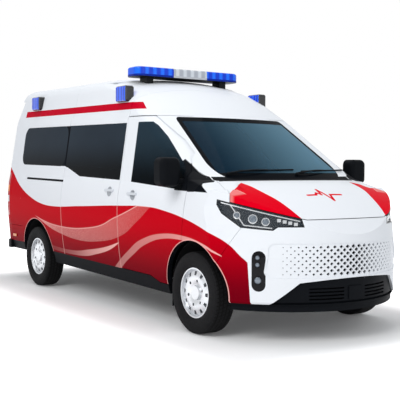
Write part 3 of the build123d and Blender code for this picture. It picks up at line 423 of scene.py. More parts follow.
def door_handles(shader, x, y, z, colour):
    """Adds painted shade as grey in the handles' dishes, and the handles' paler grey bars, to a colour."""
    m = shader.math
    right = shader.step(y, 0.0, -0.01)
    for handle_x, handle_z, both in HANDLES:
        along = m("SUBTRACT", x, handle_x)
        rise = m("SUBTRACT", z, handle_z)
        dish = shader.step(shader.length(along, rise), DISH_R, DISH_R - 0.004)
        bar = m("MULTIPLY", shader.band(along, -BAR_HALF_LONG, BAR_HALF_LONG),
                shader.band(rise, BAR_UP - BAR_HALF_TALL, BAR_UP + BAR_HALF_TALL))
        if not both:
            dish, bar = m("MULTIPLY", dish, right), m("MULTIPLY", bar, right)
        # grey in the dish is painted shade; the paler bar is the bar's own grey
        colour = shader.mix(bar, shader.mix(dish, colour, DISH_SHADE), BAR_GREY)
    return colour


def lining(shader, x, y):
    """1 on the inward faces of doors, side walls and rear doors."""
    m = shader.math
    forward, left, _ = shader.facing()
    inward = m("MULTIPLY", left, m("SIGN", y))
    behind = shader.step(x, LINING_FRONT, LINING_FRONT - 0.01)
    walls = m("MULTIPLY", shader.step(inward, -0.55, -0.65), behind)
    rear = m("MULTIPLY", shader.step(forward, 0.55, 0.65), shader.step(x, LINING_REAR, LINING_REAR - 0.01))
    return m("MAXIMUM", walls, rear)


def livery(shader):
    """Painted body: white above, red below with painted shade darkening it towards the bottom, pale bands,
    painted highlights and shade at the arch and seam edges, painted shade in the handle dishes, black round
    the glass, grey inside.
    """
    x, y, z = shader.place()
    m = shader.math
    level = shader.line(x, RAKE, z)
    # red that darkens towards the bottom: painted shade
    colour = shader.mix(shader.step(z, *RED_SHADE_FADE), RED_LOW, RED_HIGH)
    for row in PALE_BANDS:
        colour = pale_band(shader, x, z, colour, *row)
    colour = edge_highlights_and_lip_shade(shader, x, z, colour)
    under = m("SUBTRACT", shader.curve(x, RED_TOP), z)
    colour = shader.mix(shader.step(under, -EDGE, EDGE), WHITE, colour)
    colour = door_handles(shader, x, y, z, colour)
    strip = m("MULTIPLY", shader.band(x, *STRIP_X), shader.band(level, *STRIP_LEVEL))
    colour = shader.mix(strip, colour, STRIP_BLACK)
    below = m("SUBTRACT", shader.line(x, *SAIL_BROW), level)
    sail = m("MULTIPLY", shader.step(level, *SAIL_FOOT_EDGE), shader.step(below, -EDGE, EDGE))
    sail = m("MULTIPLY", sail, shader.step(x, *SAIL_REAR_EDGE))
    colour = shader.mix(sail, colour, BLACK_TRIM)
    return shader.mix(lining(shader, x, y), colour, LINING_GREY)


def stroke(shader, x, y, start, end):
    """Distance from a point to a straight stroke."""
    m = shader.math
    dx, dy = end[0] - start[0], end[1] - start[1]
    size = dx * dx + dy * dy
    off_x = m("SUBTRACT", x, start[0])
    off_y = m("SUBTRACT", y, start[1])
    share = shader.line(off_x, dx / size, m("MULTIPLY", off_y, dy / size))
    share = m("MINIMUM", m("MAXIMUM", share, 0.0), 1.0)
    return shader.length(shader.line(share, -dx, off_x), shader.line(share, -dy, off_y))


def bonnet_colour(shader):
    """White with red blades whose outer side beyond the fold carries painted light, with a painted highlight
    along the fold line, the pulse line, and grey below.
    """
    x, y, _ = shader.place()
    m = shader.math
    off_middle = m("ABSOLUTE", y)
    blade = shader.step(m("SUBTRACT", off_middle, shader.curve(x, BLADE_EDGE)), -EDGE, EDGE)
    ahead = m("SUBTRACT", x, shader.line(off_middle, *BLADE_REAR))
    blade = m("MULTIPLY", blade, shader.step(ahead, -EDGE, EDGE))
    outer = m("SUBTRACT", off_middle, shader.line(x, *BLADE_FOLD))
    rearward = shader.step(x, *FOLD_END_EDGE)
    # painted light on the outer side and a painted highlight along the fold
    light = m("MULTIPLY", m("MULTIPLY", shader.step(outer, -EDGE, EDGE), rearward), 0.42)
    painted_crease_highlight = m("MULTIPLY", m("MULTIPLY", shader.band(outer, *FOLD_LINE), rearward), 0.8)
    red = shader.mix(m("MAXIMUM", light, painted_crease_highlight), BLADE_RED, PALE_PINK)
    colour = shader.mix(blade, WHITE, red)
    near = stroke(shader, y, x, PULSE[0], PULSE[1])
    for start, end in zip(PULSE[1:], PULSE[2:]):
        near = m("MINIMUM", near, stroke(shader, y, x, start, end))
    colour = shader.mix(shader.step(near, *PULSE_EDGE), colour, BLADE_RED)
    up = shader.facing()[2]
    return shader.mix(shader.step(up, -0.2, -0.3), colour, LINING_GREY)


def roof_colour(shader):
    """White with a red stripe along each side."""
    x, _, z = shader.place()
    m = shader.math
    level = shader.line(x, RAKE, z)
    front = m("SUBTRACT", shader.line(level, *STRIPE_FRONT), x)
    stripe = m("MULTIPLY", shader.band(level, *STRIPE_LEVEL), shader.step(front, 0.0, 0.004))
    stripe = m("MULTIPLY", stripe, shader.step(x, *STRIPE_REAR_EDGE))
    return shader.mix(stripe, WHITE, STRIPE_RED)


def paint(name, colour_of):
    shader = Shader(name, Roughness=0.25, Coat_Weight=0.01, Coat_Roughness=0.03, Specular_IOR_Level=0.006)
    shader.set("Base Color", colour_of(shader))
    shader.bump(shader.noise(900.0), 0.00012, 0.2)
    return shader.material


# plain finishes

def darker(colour, share):
    return tuple(share * c for c in colour)


def plastic(name, colour, roughness=0.5, grain=0.0002, shine=0.07):
    shader = Shader(name, Roughness=roughness, Specular_IOR_Level=shine)
    shader.set("Base Color", shader.mix(shader.noise(14.0, 4.0), darker(colour, 0.75), colour))
    shader.bump(shader.noise(700.0, 3.0), grain, 0.5)
    return shader.material


def metal(name, colour, roughness, share=1.0):
    shader = Shader(name, Metallic=share)
    shade = shader.noise(30.0, 4.0)
    shader.set("Base Color", shader.mix(shade, darker(colour, 0.85), colour))
    shader.set("Roughness", shader.line(shade, 0.15, roughness))
    return shader.material


def mirror_face():
    shader = Shader("mirror_silver", Metallic=1.0, Roughness=0.02)
    shader.set("Base Color", shader.mix(shader.noise(3.0), (0.80, 0.82, 0.84), (0.88, 0.90, 0.92)))
    return shader.material


def cloth(name, colour):
    """Woven cloth with diagonal threads."""
    shader = Shader(name, Roughness=0.92, Specular_IOR_Level=0.2)
    weave = shader.add("ShaderNodeTexWave", bands_direction="DIAGONAL")
    weave.inputs["Scale"].default_value = 260.0
    shader.feed(weave.inputs["Vector"], shader.coordinates("Object"))
    shader.set("Base Color", shader.mix(weave.outputs["Fac"], darker(colour, 0.6), colour))
    shader.bump(weave.outputs["Fac"], 0.0006, 0.6)
    return shader.material


def tyre_rubber():
    """Tread blocks on the running face, with painted shade in the gaps between them, and plain rings on the
    side walls.
    """
    shader = Shader("tyre_rubber", Roughness=0.75, Specular_IOR_Level=0.10)
    x, y, z = shader.place()
    m = shader.math
    across = m("SUBTRACT", m("ABSOLUTE", y), WHEEL_Y)
    rise = m("SUBTRACT", z, WHEEL_Z)
    front = shader.step(x, -0.01, 0.01)
    rear = m("SUBTRACT", 1.0, front)
    ahead, behind = (m("SUBTRACT", x, wheel_x) for wheel_x in WHEEL_XS)
    along = m("ADD", m("MULTIPLY", front, ahead), m("MULTIPLY", rear, behind))
    radius = shader.length(along, rise)
    angle = m("ARCTAN2", rise, along)
    grooves = shader.step(m("SINE", m("MULTIPLY", across, 170.0)), -0.75, -0.45)
    slant = m("SINE", m("ADD", m("MULTIPLY", angle, 64.0), m("MULTIPLY", across, 60.0)))
    blocks = m("MULTIPLY", grooves, shader.step(slant, -0.9, -0.65))
    tread = shader.step(radius, *TREAD_EDGE)
    rings = m("MULTIPLY", m("SINE", m("MULTIPLY", radius, 900.0)), 0.12)
    height = m("ADD", m("MULTIPLY", tread, blocks), m("MULTIPLY", m("SUBTRACT", 1.0, tread), rings))
    worn = shader.mix(shader.noise(40.0, 3.0), (0.006, 0.006, 0.007), (0.013, 0.013, 0.014))
    # the gaps between tread blocks are darker: painted shade
    gap = m("MULTIPLY", tread, m("SUBTRACT", 1.0, blocks))
    shader.set("Base Color", shader.mix(gap, worn, (0.003, 0.003, 0.003)))
    shader.bump(height, 0.006, 0.9)
    return shader.material


# glass and lamps

def screen_glass():
    """Windscreen: blue tint with a painted reflection that makes it paler to the far side, and a black
    printed edge all round.
    """
    shader = Shader("windscreen_glass", Roughness=0.01, IOR=1.05)
    _, y, z = shader.place()
    m = shader.math
    side = m("SUBTRACT", shader.line(z, *SCREEN_HALF), m("ABSOLUTE", y))
    border = m("MAXIMUM", shader.step(side, *SCREEN_SIDE_EDGE), shader.step(z, *SCREEN_LOW_EDGE))
    border = m("MAXIMUM", border, shader.step(z, *SCREEN_HIGH_EDGE))
    # blue tint, paler to the far side: painted reflection
    tint_and_reflection = shader.mix(shader.step(y, -0.75, 0.80), (0.004, 0.030, 0.062), (0.19, 0.38, 0.50))
    shader.set("Base Color", shader.mix(border, tint_and_reflection, (0.003, 0.004, 0.006)))
    shader.set("Transmission Weight", m("MULTIPLY", shader.step(border, 1.0, 0.0), 0.55))
    return shader.material


def dark_glass():
    """Privacy glass: black at the foot, with a blue sheen that grows upward."""
    shader = Shader("privacy_glass", Roughness=0.02, Specular_IOR_Level=0.02)
    z = shader.place()[2]
    # the blue that grows upward is a painted sheen, with uneven tone
    painted_sheen = shader.mix(shader.noise(1.6), (0.012, 0.020, 0.031), (0.024, 0.037, 0.053))
    shader.set("Base Color", shader.mix(shader.step(z, 1.34, 1.72), (0.002, 0.003, 0.004), painted_sheen))
    return shader.material


def door_glass():
    """Front door glass: lightly see-through, black at the foot, with a painted blue sheen that grows upward.
    """
    shader = Shader("door_glass", Roughness=0.01, IOR=1.05, Transmission_Weight=0.45)
    z = shader.place()[2]
    # the blue that grows upward is a painted sheen, with uneven tone
    painted_sheen = shader.mix(shader.noise(1.6), (0.026, 0.050, 0.072), (0.040, 0.075, 0.105))
    shader.set("Base Color", shader.mix(shader.step(z, 1.28, 1.75), (0.004, 0.007, 0.010), painted_sheen))
    return shader.material


def lamp_cover():
    """Clear lamp cover: a thin pane that lets most light straight through, with a faint film of dust."""
    shader = Shader("lamp_cover", Roughness=0.02, Specular_IOR_Level=0.3)
    dust = shader.noise(30.0, 3.0)
    shader.set("Base Color", shader.mix(dust, (0.10, 0.13, 0.16), (0.20, 0.24, 0.28)))
    shader.set("Alpha", shader.line(dust, 0.06, 0.06))
    return shader.material


def lens_glass():
    """Lens of a headlamp or fog lamp: blue-grey with cloudy depth."""
    shader = Shader("lens_glass_ringed", Roughness=0.05, Specular_IOR_Level=0.8)
    shader.set("Base Color", shader.mix(shader.noise(90.0), (0.05, 0.07, 0.10), (0.24, 0.29, 0.35)))
    return shader.material


def bar_base():
    """Light bar tray: blue rims at both ends, satin aluminium between, black below and on the feet."""
    shader = Shader("light_bar_tray", Roughness=0.35, Specular_IOR_Level=0.1)
    _, y, z = shader.place()
    grain = shader.mix(shader.noise(40.0, 3.0), (0.42, 0.44, 0.47), (0.58, 0.60, 0.63))
    ends = shader.step(shader.math("ABSOLUTE", y), *BAR_BLUE_EDGE)
    rim = shader.mix(ends, grain, (0.002, 0.022, 0.30))
    shader.set("Base Color", shader.mix(shader.step(z, *BAR_FOOT_EDGE), BLACK_TRIM, rim))
    return shader.material


def bar_lens():
    """Light bar cover: blue at both ends, clear over a silver middle, with fine upright ribs."""
    shader = Shader("light_bar_lens", Roughness=0.12, Specular_IOR_Level=0.2, Emission_Strength=0.35)
    y = shader.place()[1]
    m = shader.math
    ends = shader.step(m("ABSOLUTE", y), *BAR_BLUE_EDGE)
    cells = shader.step(m("SINE", m("MULTIPLY", y, 68.0)), -0.6, 0.9)
    blue = shader.mix(cells, (0.002, 0.028, 0.46), (0.010, 0.15, 0.82))
    silver = shader.mix(cells, (0.42, 0.45, 0.50), (0.64, 0.68, 0.72))
    shader.set("Base Color", shader.mix(ends, silver, blue))
    shader.set("Emission Color", shader.mix(ends, (0.0, 0.0, 0.0), (0.0, 0.05, 0.5)))
    shader.bump(m("SINE", m("MULTIPLY", y, 420.0)), 0.0006, 0.6)
    return shader.material


def beacon_lens():
    """Side beacon: blue cells in a black frame, with fine level ribs."""
    shader = Shader("beacon_lens", Roughness=0.10, Specular_IOR_Level=0.5, Emission_Strength=0.3)
    x, _, z = shader.place()
    m = shader.math
    rise = m("ABSOLUTE", m("SUBTRACT", shader.line(x, RAKE, z), BEACON_Z))
    near, far = (m("ABSOLUTE", m("SUBTRACT", x, beacon_x)) for beacon_x in BEACON_XS)
    along = m("MINIMUM", near, far)
    rim = m("MAXIMUM", shader.step(along, *BEACON_LONG_EDGE), shader.step(rise, *BEACON_TALL_EDGE))
    cells = shader.step(m("SINE", m("MULTIPLY", along, 150.0)), -0.2, 0.6)
    blue = shader.mix(cells, (0.002, 0.03, 0.40), (0.012, 0.11, 0.80))
    shader.set("Base Color", shader.mix(rim, blue, (0.012, 0.013, 0.016)))
    shader.set("Emission Color", shader.mix(rim, (0.0, 0.05, 0.5), (0.0, 0.0, 0.0)))
    shader.bump(m("SINE", m("MULTIPLY", z, 500.0)), 0.0006, 0.6)
    return shader.material


def tail_lens():
    """Tail lamp: red with an amber and a clear field, and fine level ribs."""
    shader = Shader("tail_lens", Roughness=0.08, Specular_IOR_Level=0.5)
    z = shader.place()[2]
    m = shader.math
    colour = shader.mix(shader.noise(25.0), (0.34, 0.0, 0.006), (0.52, 0.004, 0.012))
    colour = shader.mix(shader.band(z, *TAIL_AMBER), colour, (0.75, 0.22, 0.01))
    colour = shader.mix(shader.band(z, *TAIL_CLEAR), colour, (0.72, 0.74, 0.76))
    shader.set("Base Color", colour)
    shader.bump(m("SINE", m("MULTIPLY", z, 700.0)), 0.0005, 0.5)
    return shader.material


PAINT = paint("body_paint", livery)
BONNET_PAINT = paint("bonnet_paint", bonnet_colour)
ROOF_PAINT = paint("roof_paint", roof_colour)
TRIM = plastic("black_trim", BLACK_TRIM, shine=0.03)
GLOSS_BLACK = plastic("gloss_black", (0.005, 0.005, 0.007), 0.12, 0.00002, 0.12)
LAMP_TRAY = plastic("lamp_tray", (0.016, 0.018, 0.022), 0.25, 0.00001, 0.25)
HOLE_BLACK = plastic("grille_black", (0.004, 0.004, 0.005), 0.8, 0.0002, 0.1)
RUBBER = tyre_rubber()
UNDERBODY = plastic("underbody", (0.012, 0.012, 0.013), 0.7)
PRIVACY = dark_glass()
SCREEN = screen_glass()
CLEAR = door_glass()
COVER = lamp_cover()
SILVER = metal("silver_wheel", (0.66, 0.68, 0.71), 0.24, 0.80)
CHROME = metal("lamp_chrome", (0.88, 0.90, 0.92), 0.08)
STEEL = metal("dark_steel", (0.16, 0.16, 0.17), 0.4)
RED_LENS = tail_lens()
AMBER = plastic("amber_reflector", (0.80, 0.20, 0.01), 0.15, 0.0003, 0.5)
BAR_BASE = bar_base()
BAR_LENS = bar_lens()
BEACON_LENS = beacon_lens()
CABIN = plastic("cabin_plastic", (0.05, 0.055, 0.06))
SEAT_CLOTH = cloth("seat_cloth", (0.075, 0.08, 0.09))
SIDE_CLOTH = cloth("seat_side_cloth", (0.035, 0.037, 0.042))
LENS = lens_glass()
MIRROR_FACE = mirror_face()

# finishes: material, starts of the node names that get it
FINISHES = [
    (PAINT, ("side_panel", "sliding_door", "front_door_left", "front_door_right", "fenders", "rear_door_left",
             "rear_door_right", "front_bumper", "grille", "cab_pillars", "bumper_corners")),
    (BONNET_PAINT, ("bonnet",)),
    (ROOF_PAINT, ("roof",)),
    (TRIM, ("sill_trims", "mirror", "cowl_and_sails", "lower_grille", "rear_bumper", "slide_rail",
            "mud_flaps")),
    (BAR_BASE, ("light_bar_base",)),
    (GLOSS_BLACK, ("fog_lamps",)),
    (LAMP_TRAY, ("headlamps",)),
    (HOLE_BLACK, ("grille_backing",)),
    (PRIVACY, ("privacy_glass", "rear_door_glass")),
    (SCREEN, ("windscreen",)),
    (CLEAR, ("front_door_glass",)),
    (COVER, ("headlamp_covers",)),
    (CHROME, ("lamp_units",)),
    (RUBBER, ("tyre",)),
    (SILVER, ("wheel_front", "wheel_rear")),
    (RED_LENS, ("tail_lamps",)),
    (BAR_LENS, ("light_bar_lenses",)),
    (BEACON_LENS, ("side_beacons",)),
    (CABIN, ("dashboard", "steering_wheel", "bulkheads")),
    (SEAT_CLOTH, ("seats",)),
    (STEEL, ("knuckle", "front_subframe", "front_struts", "rear_axle", "engine")),
    (UNDERBODY, ("floor_pan", "wheel_arch_liners", "underframe", "fuel_tank", "slam_panel")),
]


def finish_of(name):
    """The finish whose start fits most of the node's name."""
    fits = [(len(start), finish) for finish, starts in FINISHES for start in starts if name.startswith(start)]
    return max(fits, key=lambda fit: fit[0])[1]


def dress_nodes():
    for name, node in NODES.items():
        node.data.materials.clear()
        node.data.materials.append(finish_of(name))


# makers of meshes

def add_mesh(name, verts, faces, material, body, smooth=True):
    mesh = bpy.data.meshes.new(name)
    mesh.from_pydata([tuple(v) for v in verts], [], faces)
    mesh.update()
    mesh.materials.append(material)
    for polygon in mesh.polygons:
        polygon.use_smooth = smooth
    piece = bpy.data.objects.new(name, mesh)
    bpy.context.scene.collection.objects.link(piece)
    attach(piece, body)
    return piece


def stack(name, rings, material, body, smooth=True):
    """A closed skin over rings of equal count, which run anticlockwise seen from beyond the last one."""
    count = len(rings[0])
    verts = [point for ring in rings for point in ring]
    faces = [tuple(reversed(range(count)))]
    for row in range(len(rings) - 1):
        low, high = row * count, (row + 1) * count
        for k in range(count):
            n = (k + 1) % count
            faces.append((low + k, low + n, high + n, high + k))
    faces.append(tuple(range(len(verts) - count, len(verts))))
    return add_mesh(name, verts, faces, material, body, smooth)


def lathe(name, profile, at, axis, material, body, turns):
    """A profile of (radius, height) rows, from the foot up, spun round an axis."""
    side = axis.orthogonal().normalized()
    other = axis.cross(side)
    angles = [2.0 * math.pi * k / turns for k in range(turns)]
    ways = [side * math.cos(angle) + other * math.sin(angle) for angle in angles]
    rings = [[at + axis * height + way * radius for way in ways] for radius, height in profile]
    return stack(name, rings, material, body)


def squarish(value):
    """A sine or cosine pushed outward, so that a circle turns into a rounded square."""
    return math.copysign(abs(value) ** 0.6, value)


def sweep(name, path, widths, material, body, up=(0.0, 0.0, 1.0)):
    """A flat bar with rounded edges along a path; widths are (across, thick) at each point."""
    corners = 8
    path = [Vector(point) for point in path]
    rings = []
    for index, (point, (across, thick)) in enumerate(zip(path, widths)):
        way = (path[min(index + 1, len(path) - 1)] - path[max(index - 1, 0)]).normalized()
        side = way.cross(Vector(up)).normalized()
        top = side.cross(way)
        ring = []
        for k in reversed(range(corners)):
            angle = 2.0 * math.pi * (k + 0.5) / corners
            out = side * (squarish(math.cos(angle)) * across / 2)
            ring.append(point + out + top * (squarish(math.sin(angle)) * thick / 2))
        rings.append(ring)
    return stack(name, rings, material, body)


def plate(name, outline, normal, thick, edge, material, body):
    """A thin plate with a chamfered edge, from an outline that runs anticlockwise seen from its face."""
    outline = [Vector(point) for point in outline]
    normal = Vector(normal)
    middle = sum(outline, Vector()) / len(outline)
    shoulder = [point + normal * (thick * 0.6) for point in outline]
    face = [point + normal * thick + (middle - point).normalized() * edge for point in outline]
    return stack(name, [outline, shoulder, face], material, body, smooth=False)


def rounded(width, height, radius, steps=6):
    """A rounded rectangle round the origin, anticlockwise, as (across, up) points."""
    points = []
    for right, top, start in ((1, 1, 0.0), (-1, 1, 0.5), (-1, -1, 1.0), (1, -1, 1.5)):
        for k in range(steps + 1):
            angle = math.pi * (start + 0.5 * k / steps)
            across = right * (width / 2 - radius) + radius * math.cos(angle)
            points.append((across, top * (height / 2 - radius) + radius * math.sin(angle)))
    return points


def groove(value, places, width):
    """Depth of sewn grooves at a place: 1 in the middle of each."""
    return sum(math.exp(-((value - place) / width) ** 2) for place in places)


def pad(name, size, place, channels, pull=0.035, rows=28):
    """A crowned closed cushion whose sides pull in between the corners, with sewn channels along it."""
    wide, long, thick = size
    verts = []
    for sheet in (1.0, -1.0):
        for i in range(rows + 1):
            for j in range(rows + 1):
                u = 2.0 * i / rows - 1.0
                v = 2.0 * j / rows - 1.0
                bend = math.sqrt((1.0 - abs(u) ** 5) * (1.0 - abs(v) ** 5))
                crown = bend * (1.0 - 0.11 * (u * u + v * v))
                if sheet > 0:
                    crown -= bend * (0.10 * groove(u, channels, 0.035) + 0.05 * groove(v, CROSS_SEAMS, 0.03))
                x = wide / 2 * u * (1.0 - pull * (1.0 - v * v))
                y = long / 2 * v * (1.0 - pull * (1.0 - u * u))
                verts.append(place @ Vector((x, y, sheet * thick / 2 * max(crown, 0.0))))
    sheet_size = (rows + 1) * (rows + 1)
    faces = []
    for i in range(rows):
        for j in range(rows):
            a = i * (rows + 1) + j
            quad = (a, a + rows + 1, a + rows + 2, a + 1)
            faces.append(quad)
            faces.append(tuple(sheet_size + k for k in reversed(quad)))
    piece = add_mesh(name, verts, faces, SEAT_CLOTH, "body")
    weld = piece.modifiers.new("weld", "WELD")
    weld.merge_threshold = 0.0005
    return piece


# pieces

def seat_bar(name, rows, y, side, material, up=(0.0, 0.0, 1.0)):
    """A bar on one side of a seat, from rows of x, distance out, z, width and thickness."""
    path = [(x, y + side * out, z) for x, out, z, across, thick in rows]
    widths = [(across, thick) for x, out, z, across, thick in rows]
    sweep(name, path, widths, material, "body", up)


def seat(y, name):
    """One seat; returns its cushion."""
    pads = []
    for kind, size, x, z, tilt, channels in PADS:
        turn = Matrix.Rotation(math.radians(tilt), 4, "Y") @ Matrix.Rotation(math.pi / 2, 4, "Z")
        place = Matrix.Translation((x, y, z)) @ turn
        pads.append(pad("seat_%s_%s" % (kind, name), size, place, channels))
    for side in (-1, 1):
        seat_bar("headrest_post_%s_%d" % (name, side), HEADREST_POST, y, side, STEEL, up=(1, 0, 0))
        seat_bar("seat_side_%s_%d" % (name, side), SEAT_SIDE, y, side, SIDE_CLOTH)
    seat_bar("seat_base_" + name, SEAT_BASE, y, 1, CABIN)
    return pads[0]


def seats():
    for side, name in SIDES:
        cushion = seat(side * SEAT_Y, name)
        if name == "left":
            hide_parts("seats")


def nose_radius(z):
    """The nose skin's radius at a height."""
    for (low, first), (high, second) in zip(NOSE_ROWS, NOSE_ROWS[1:]):
        if z < high:
            return first + (second - first) * max(z - low, 0.0) / (high - low)
    return NOSE_ROWS[-1][1]


def corner_point(place, z, side, depth):
    """A point below the front corner's skin, from its place across the 45 degree view, and its way out."""
    radius = nose_radius(z) - depth
    # x - NOSE_X = radius * cos(turn) and -y = radius * sin(turn), with x + y = place * sqrt(2)
    share = (place * math.sqrt(2.0) - NOSE_X) / (radius * math.sqrt(2.0))
    turn = math.acos(max(-1.0, min(1.0, share))) - math.pi / 4
    out = Vector((math.cos(turn), side * math.sin(turn), 0.0))
    return Vector((NOSE_X, 0.0, z)) + out * radius, out


def lamp_lenses():
    """Domes in the headlamps and the fog lamps."""
    for side, name in SIDES:
        for group, domes, depth, rise in LENS_GROUPS:
            for k, (place, z, radius) in enumerate(domes):
                at, out = corner_point(place, z, side, depth)
                profile = [(radius, -0.004), (radius, 0.0), (radius * 0.93, rise * 0.35),
                           (radius * 0.78, rise * 0.66), (radius * 0.5, rise * 0.9), (radius * 0.2, rise)]
                lathe("%s_lens_%s_%d" % (group, name, k), profile, at, out, LENS, "body", 28)


def screen_point(y, z, lift=0.0):
    """A point lifted off the windscreen's outer face, from its place across and height, and its way out."""
    slope = (SCREEN_HEAD[1] - SCREEN_FOOT[1]) / (SCREEN_HEAD[0] - SCREEN_FOOT[0])
    x = SCREEN_AXIS_X + SCREEN_FOOT[1]
    # the level depends a little on x, so x is closed in on
    for _ in range(6):
        radius = SCREEN_FOOT[1] + slope * (z + RAKE * x - SCREEN_FOOT[0])
        x = SCREEN_AXIS_X + math.sqrt(radius * radius - y * y)
    out = Vector((x - SCREEN_AXIS_X, y, 0.0)).normalized()
    normal = Vector((out.x, out.y, -slope)).normalized()
    return Vector((x, y, z)) + normal * lift, normal


def wipers():
    """An arm from a pivot at the windscreen's foot to the middle of a long blade, on each side."""
    for name, (y0, z0), (y1, z1), half in WIPERS:
        arm = []
        for k in range(len(ARM_WIDTHS)):
            t = k / (len(ARM_WIDTHS) - 1)
            lift = ARM_LIFT + ARM_ARCH * math.sin(math.pi * t)
            arm.append(screen_point(y0 + (y1 - y0) * t, z0 + (z1 - z0) * t, lift)[0])
        sweep("wiper_arm_" + name, arm, ARM_WIDTHS, TRIM, "body", up=WIPER_UP)
        blade = []
        for k in range(len(BLADE_WIDTHS)):
            t = k / (len(BLADE_WIDTHS) - 1) - 0.5
            blade.append(screen_point(y1 + t * 2.0 * half, z1 + BLADE_RISE * t, BLADE_LIFT)[0])
        sweep("wiper_blade_" + name, blade, BLADE_WIDTHS, TRIM, "body", up=WIPER_UP)
        at, out = screen_point(y0, z0)
        lathe("wiper_pivot_" + name, PIVOT_PROFILE, at, out, TRIM, "body", 20)


def mirror_glass():
    x, y, z = MIRROR_AT
    for side, name in SIDES:
        face = [(x, side * y + across, z + up) for across, up in reversed(rounded(*MIRROR_SIZE))]
        body = "front_door_" + name
        plate("mirror_glass_" + name, face, (-1, 0, 0), 0.003, 0.003, MIRROR_FACE, body)


def side_reflectors():
    """Amber reflectors on the painted bumper corners."""
    x, y, z = REFLECTOR_AT
    for side, name in SIDES:
        face = [(x - side * across, side * y, z + up) for across, up in rounded(*REFLECTOR_SIZE)]
        plate("side_reflector_" + name, face, (0, side, 0), 0.006, 0.003, AMBER, "body")


def seat_on(node, start, way):
    """The point and the outward normal where a line first meets a CAD piece."""
    return NODES[node].ray_cast(start, way)[1:3]


def rear_handle():
    at, out = seat_on(REAR_DOOR, HANDLE_FROM, (1.0, 0.0, 0.0))
    across = Vector((0.0, 1.0, 0.0))
    up = across.cross(out)
    cup = [at + across * a + up * u for a, u in reversed(rounded(*CUP_SIZE))]
    plate("rear_handle_cup", cup, out, 0.006, 0.005, TRIM, REAR_DOOR)
    path = []
    for share in REAR_BAR_SHARES:
        lift = REAR_BAR_LIFT + REAR_BAR_RISE * (1.0 - share ** 4)
        path.append(at + across * (REAR_BAR_HALF * share) + out * lift)
    sweep("rear_handle_bar", path, [REAR_BAR_WIDTH] * len(path), TRIM, REAR_DOOR, up=out)


def lower_grille_sheet():
    """A curved sheet behind the lower grille, ribbed across."""
    rows = SHEET_ROWS + [(z, depth + SHEET_THICK) for z, depth in reversed(SHEET_ROWS)]
    rings = []
    for k in range(SHEET_STEPS + 1):
        turn = SHEET_TURN * (2.0 * k / SHEET_STEPS - 1.0)
        rib = SHEET_RIB if k % 4 == 0 else 0.0
        ring = []
        for z, depth in reversed(rows):
            radius = NOSE_ROWS[0][1] - depth + rib
            ring.append((NOSE_X + radius * math.cos(turn), radius * math.sin(turn), z))
        rings.append(ring)
    stack("lower_grille_mesh", rings, HOLE_BLACK, "body", smooth=False)


# surroundings

def plainly_seen(tree):
    """1 for rays from the camera, through glass or off a shiny face."""
    rays = tree.nodes.new("ShaderNodeLightPath")
    seen = rays.outputs["Is Camera Ray"]
    for kind in ("Is Transmission Ray", "Is Glossy Ray"):
        either = tree.nodes.new("ShaderNodeMath")
        either.operation = "MAXIMUM"
        tree.links.new(seen, either.inputs[0])
        tree.links.new(rays.outputs[kind], either.inputs[1])
        seen = either.outputs[0]
    return seen


def floor_finish():
    """White away from the van, with its shadow kept near it, and clear from below."""
    shader = Shader("floor", Base_Color=FLOOR_WHITE, Roughness=0.8, Specular_IOR_Level=0.1)
    m = shader.math
    x, y, _ = shader.place()
    ahead = m("MAXIMUM", m("SUBTRACT", m("ABSOLUTE", x), CAD_BOX[1][0]), 0.0)
    aside = m("MAXIMUM", m("SUBTRACT", m("ABSOLUTE", y), CAD_BOX[1][1]), 0.0)
    away = shader.step(shader.length(ahead, aside), 0.0, GLOW_REACH)
    glow = shader.line(away, 1.0 - FLOOR_GLOW, FLOOR_GLOW)
    shader.set("Emission Color", (1.0, 1.0, 1.0))
    shader.set("Emission Strength", m("MULTIPLY", plainly_seen(shader.tree), glow))
    under = shader.add("ShaderNodeMixShader")
    shader.feed(under.inputs[0], shader.add("ShaderNodeNewGeometry").outputs["Backfacing"])
    shader.feed(under.inputs[1], shader.surface.outputs[0])
    shader.feed(under.inputs[2], shader.add("ShaderNodeBsdfTransparent").outputs[0])
    shader.feed(shader.tree.nodes["Material Output"].inputs["Surface"], under.outputs[0])
    return shader.material


def add_floor():
    mesh = bpy.data.meshes.new("floor")
    half = FLOOR_HALF
    corners = [(-half, -half, 0), (half, -half, 0), (half, half, 0), (-half, half, 0)]
    mesh.from_pydata(corners, [], [(0, 1, 2, 3)])
    mesh.materials.append(floor_finish())
    floor = bpy.data.objects.new("floor", mesh)
    bpy.context.scene.collection.objects.link(floor)


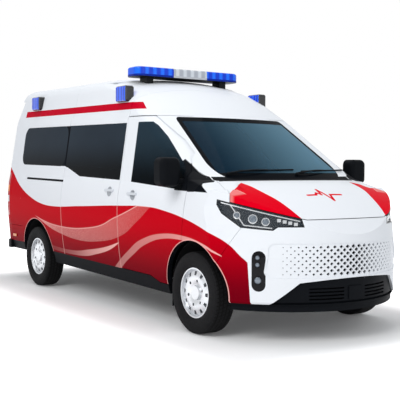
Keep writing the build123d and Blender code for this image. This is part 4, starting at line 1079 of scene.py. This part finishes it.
def add_world():
    """A soft surround that is plain white where it is seen."""
    world = bpy.data.worlds.new("studio")
    bpy.context.scene.world = world
    world.use_nodes = True
    tree = world.node_tree
    soft = tree.nodes["Background"]
    soft.inputs["Color"].default_value = WORLD_TINT
    soft.inputs["Strength"].default_value = WORLD_LIGHT
    plain = tree.nodes.new("ShaderNodeBackground")
    plain.inputs["Color"].default_value = (1.0, 1.0, 1.0, 1.0)
    plain.inputs["Strength"].default_value = 1.0
    pick = tree.nodes.new("ShaderNodeMixShader")
    tree.links.new(plainly_seen(tree), pick.inputs[0])
    tree.links.new(soft.outputs[0], pick.inputs[1])
    tree.links.new(plain.outputs[0], pick.inputs[2])
    tree.links.new(pick.outputs[0], tree.nodes["World Output"].inputs[0])


def add_lamps():
    for name, at, power, width in LAMPS:
        lamp = bpy.data.lights.new(name, "AREA")
        lamp.energy = power
        lamp.size = width
        piece = bpy.data.objects.new(name, lamp)
        piece.location = at
        piece.rotation_mode = "QUATERNION"
        piece.rotation_quaternion = (LAMP_AIM - at).to_track_quat("-Z", "Y")
        bpy.context.scene.collection.objects.link(piece)


def add_camera():
    data = bpy.data.cameras.new("camera")
    data.sensor_width = SENSOR_MM
    data.lens = LENS_MM
    piece = bpy.data.objects.new("camera", data)
    bpy.context.scene.collection.objects.link(piece)
    level = math.cos(CAMERA_PITCH)
    back = Vector((math.sin(CAMERA_YAW) * level, -math.cos(CAMERA_YAW) * level, math.sin(CAMERA_PITCH)))
    right = Vector((math.cos(CAMERA_YAW), math.sin(CAMERA_YAW), 0.0))
    up = back.cross(right)
    c, s = math.cos(CAMERA_ROLL), math.sin(CAMERA_ROLL)
    across = c * right + s * up
    above = c * up - s * right
    piece.matrix_world = Matrix.Translation(CAMERA_AT) @ Matrix((across, above, back)).transposed().to_4x4()
    bpy.context.scene.camera = piece


dress_nodes()
seats()
lamp_lenses()
wipers()
mirror_glass()
side_reflectors()
rear_handle()
lower_grille_sheet()
add_floor()
add_world()
add_lamps()
add_camera()
bpy.context.scene.view_settings.view_transform = "Standard"
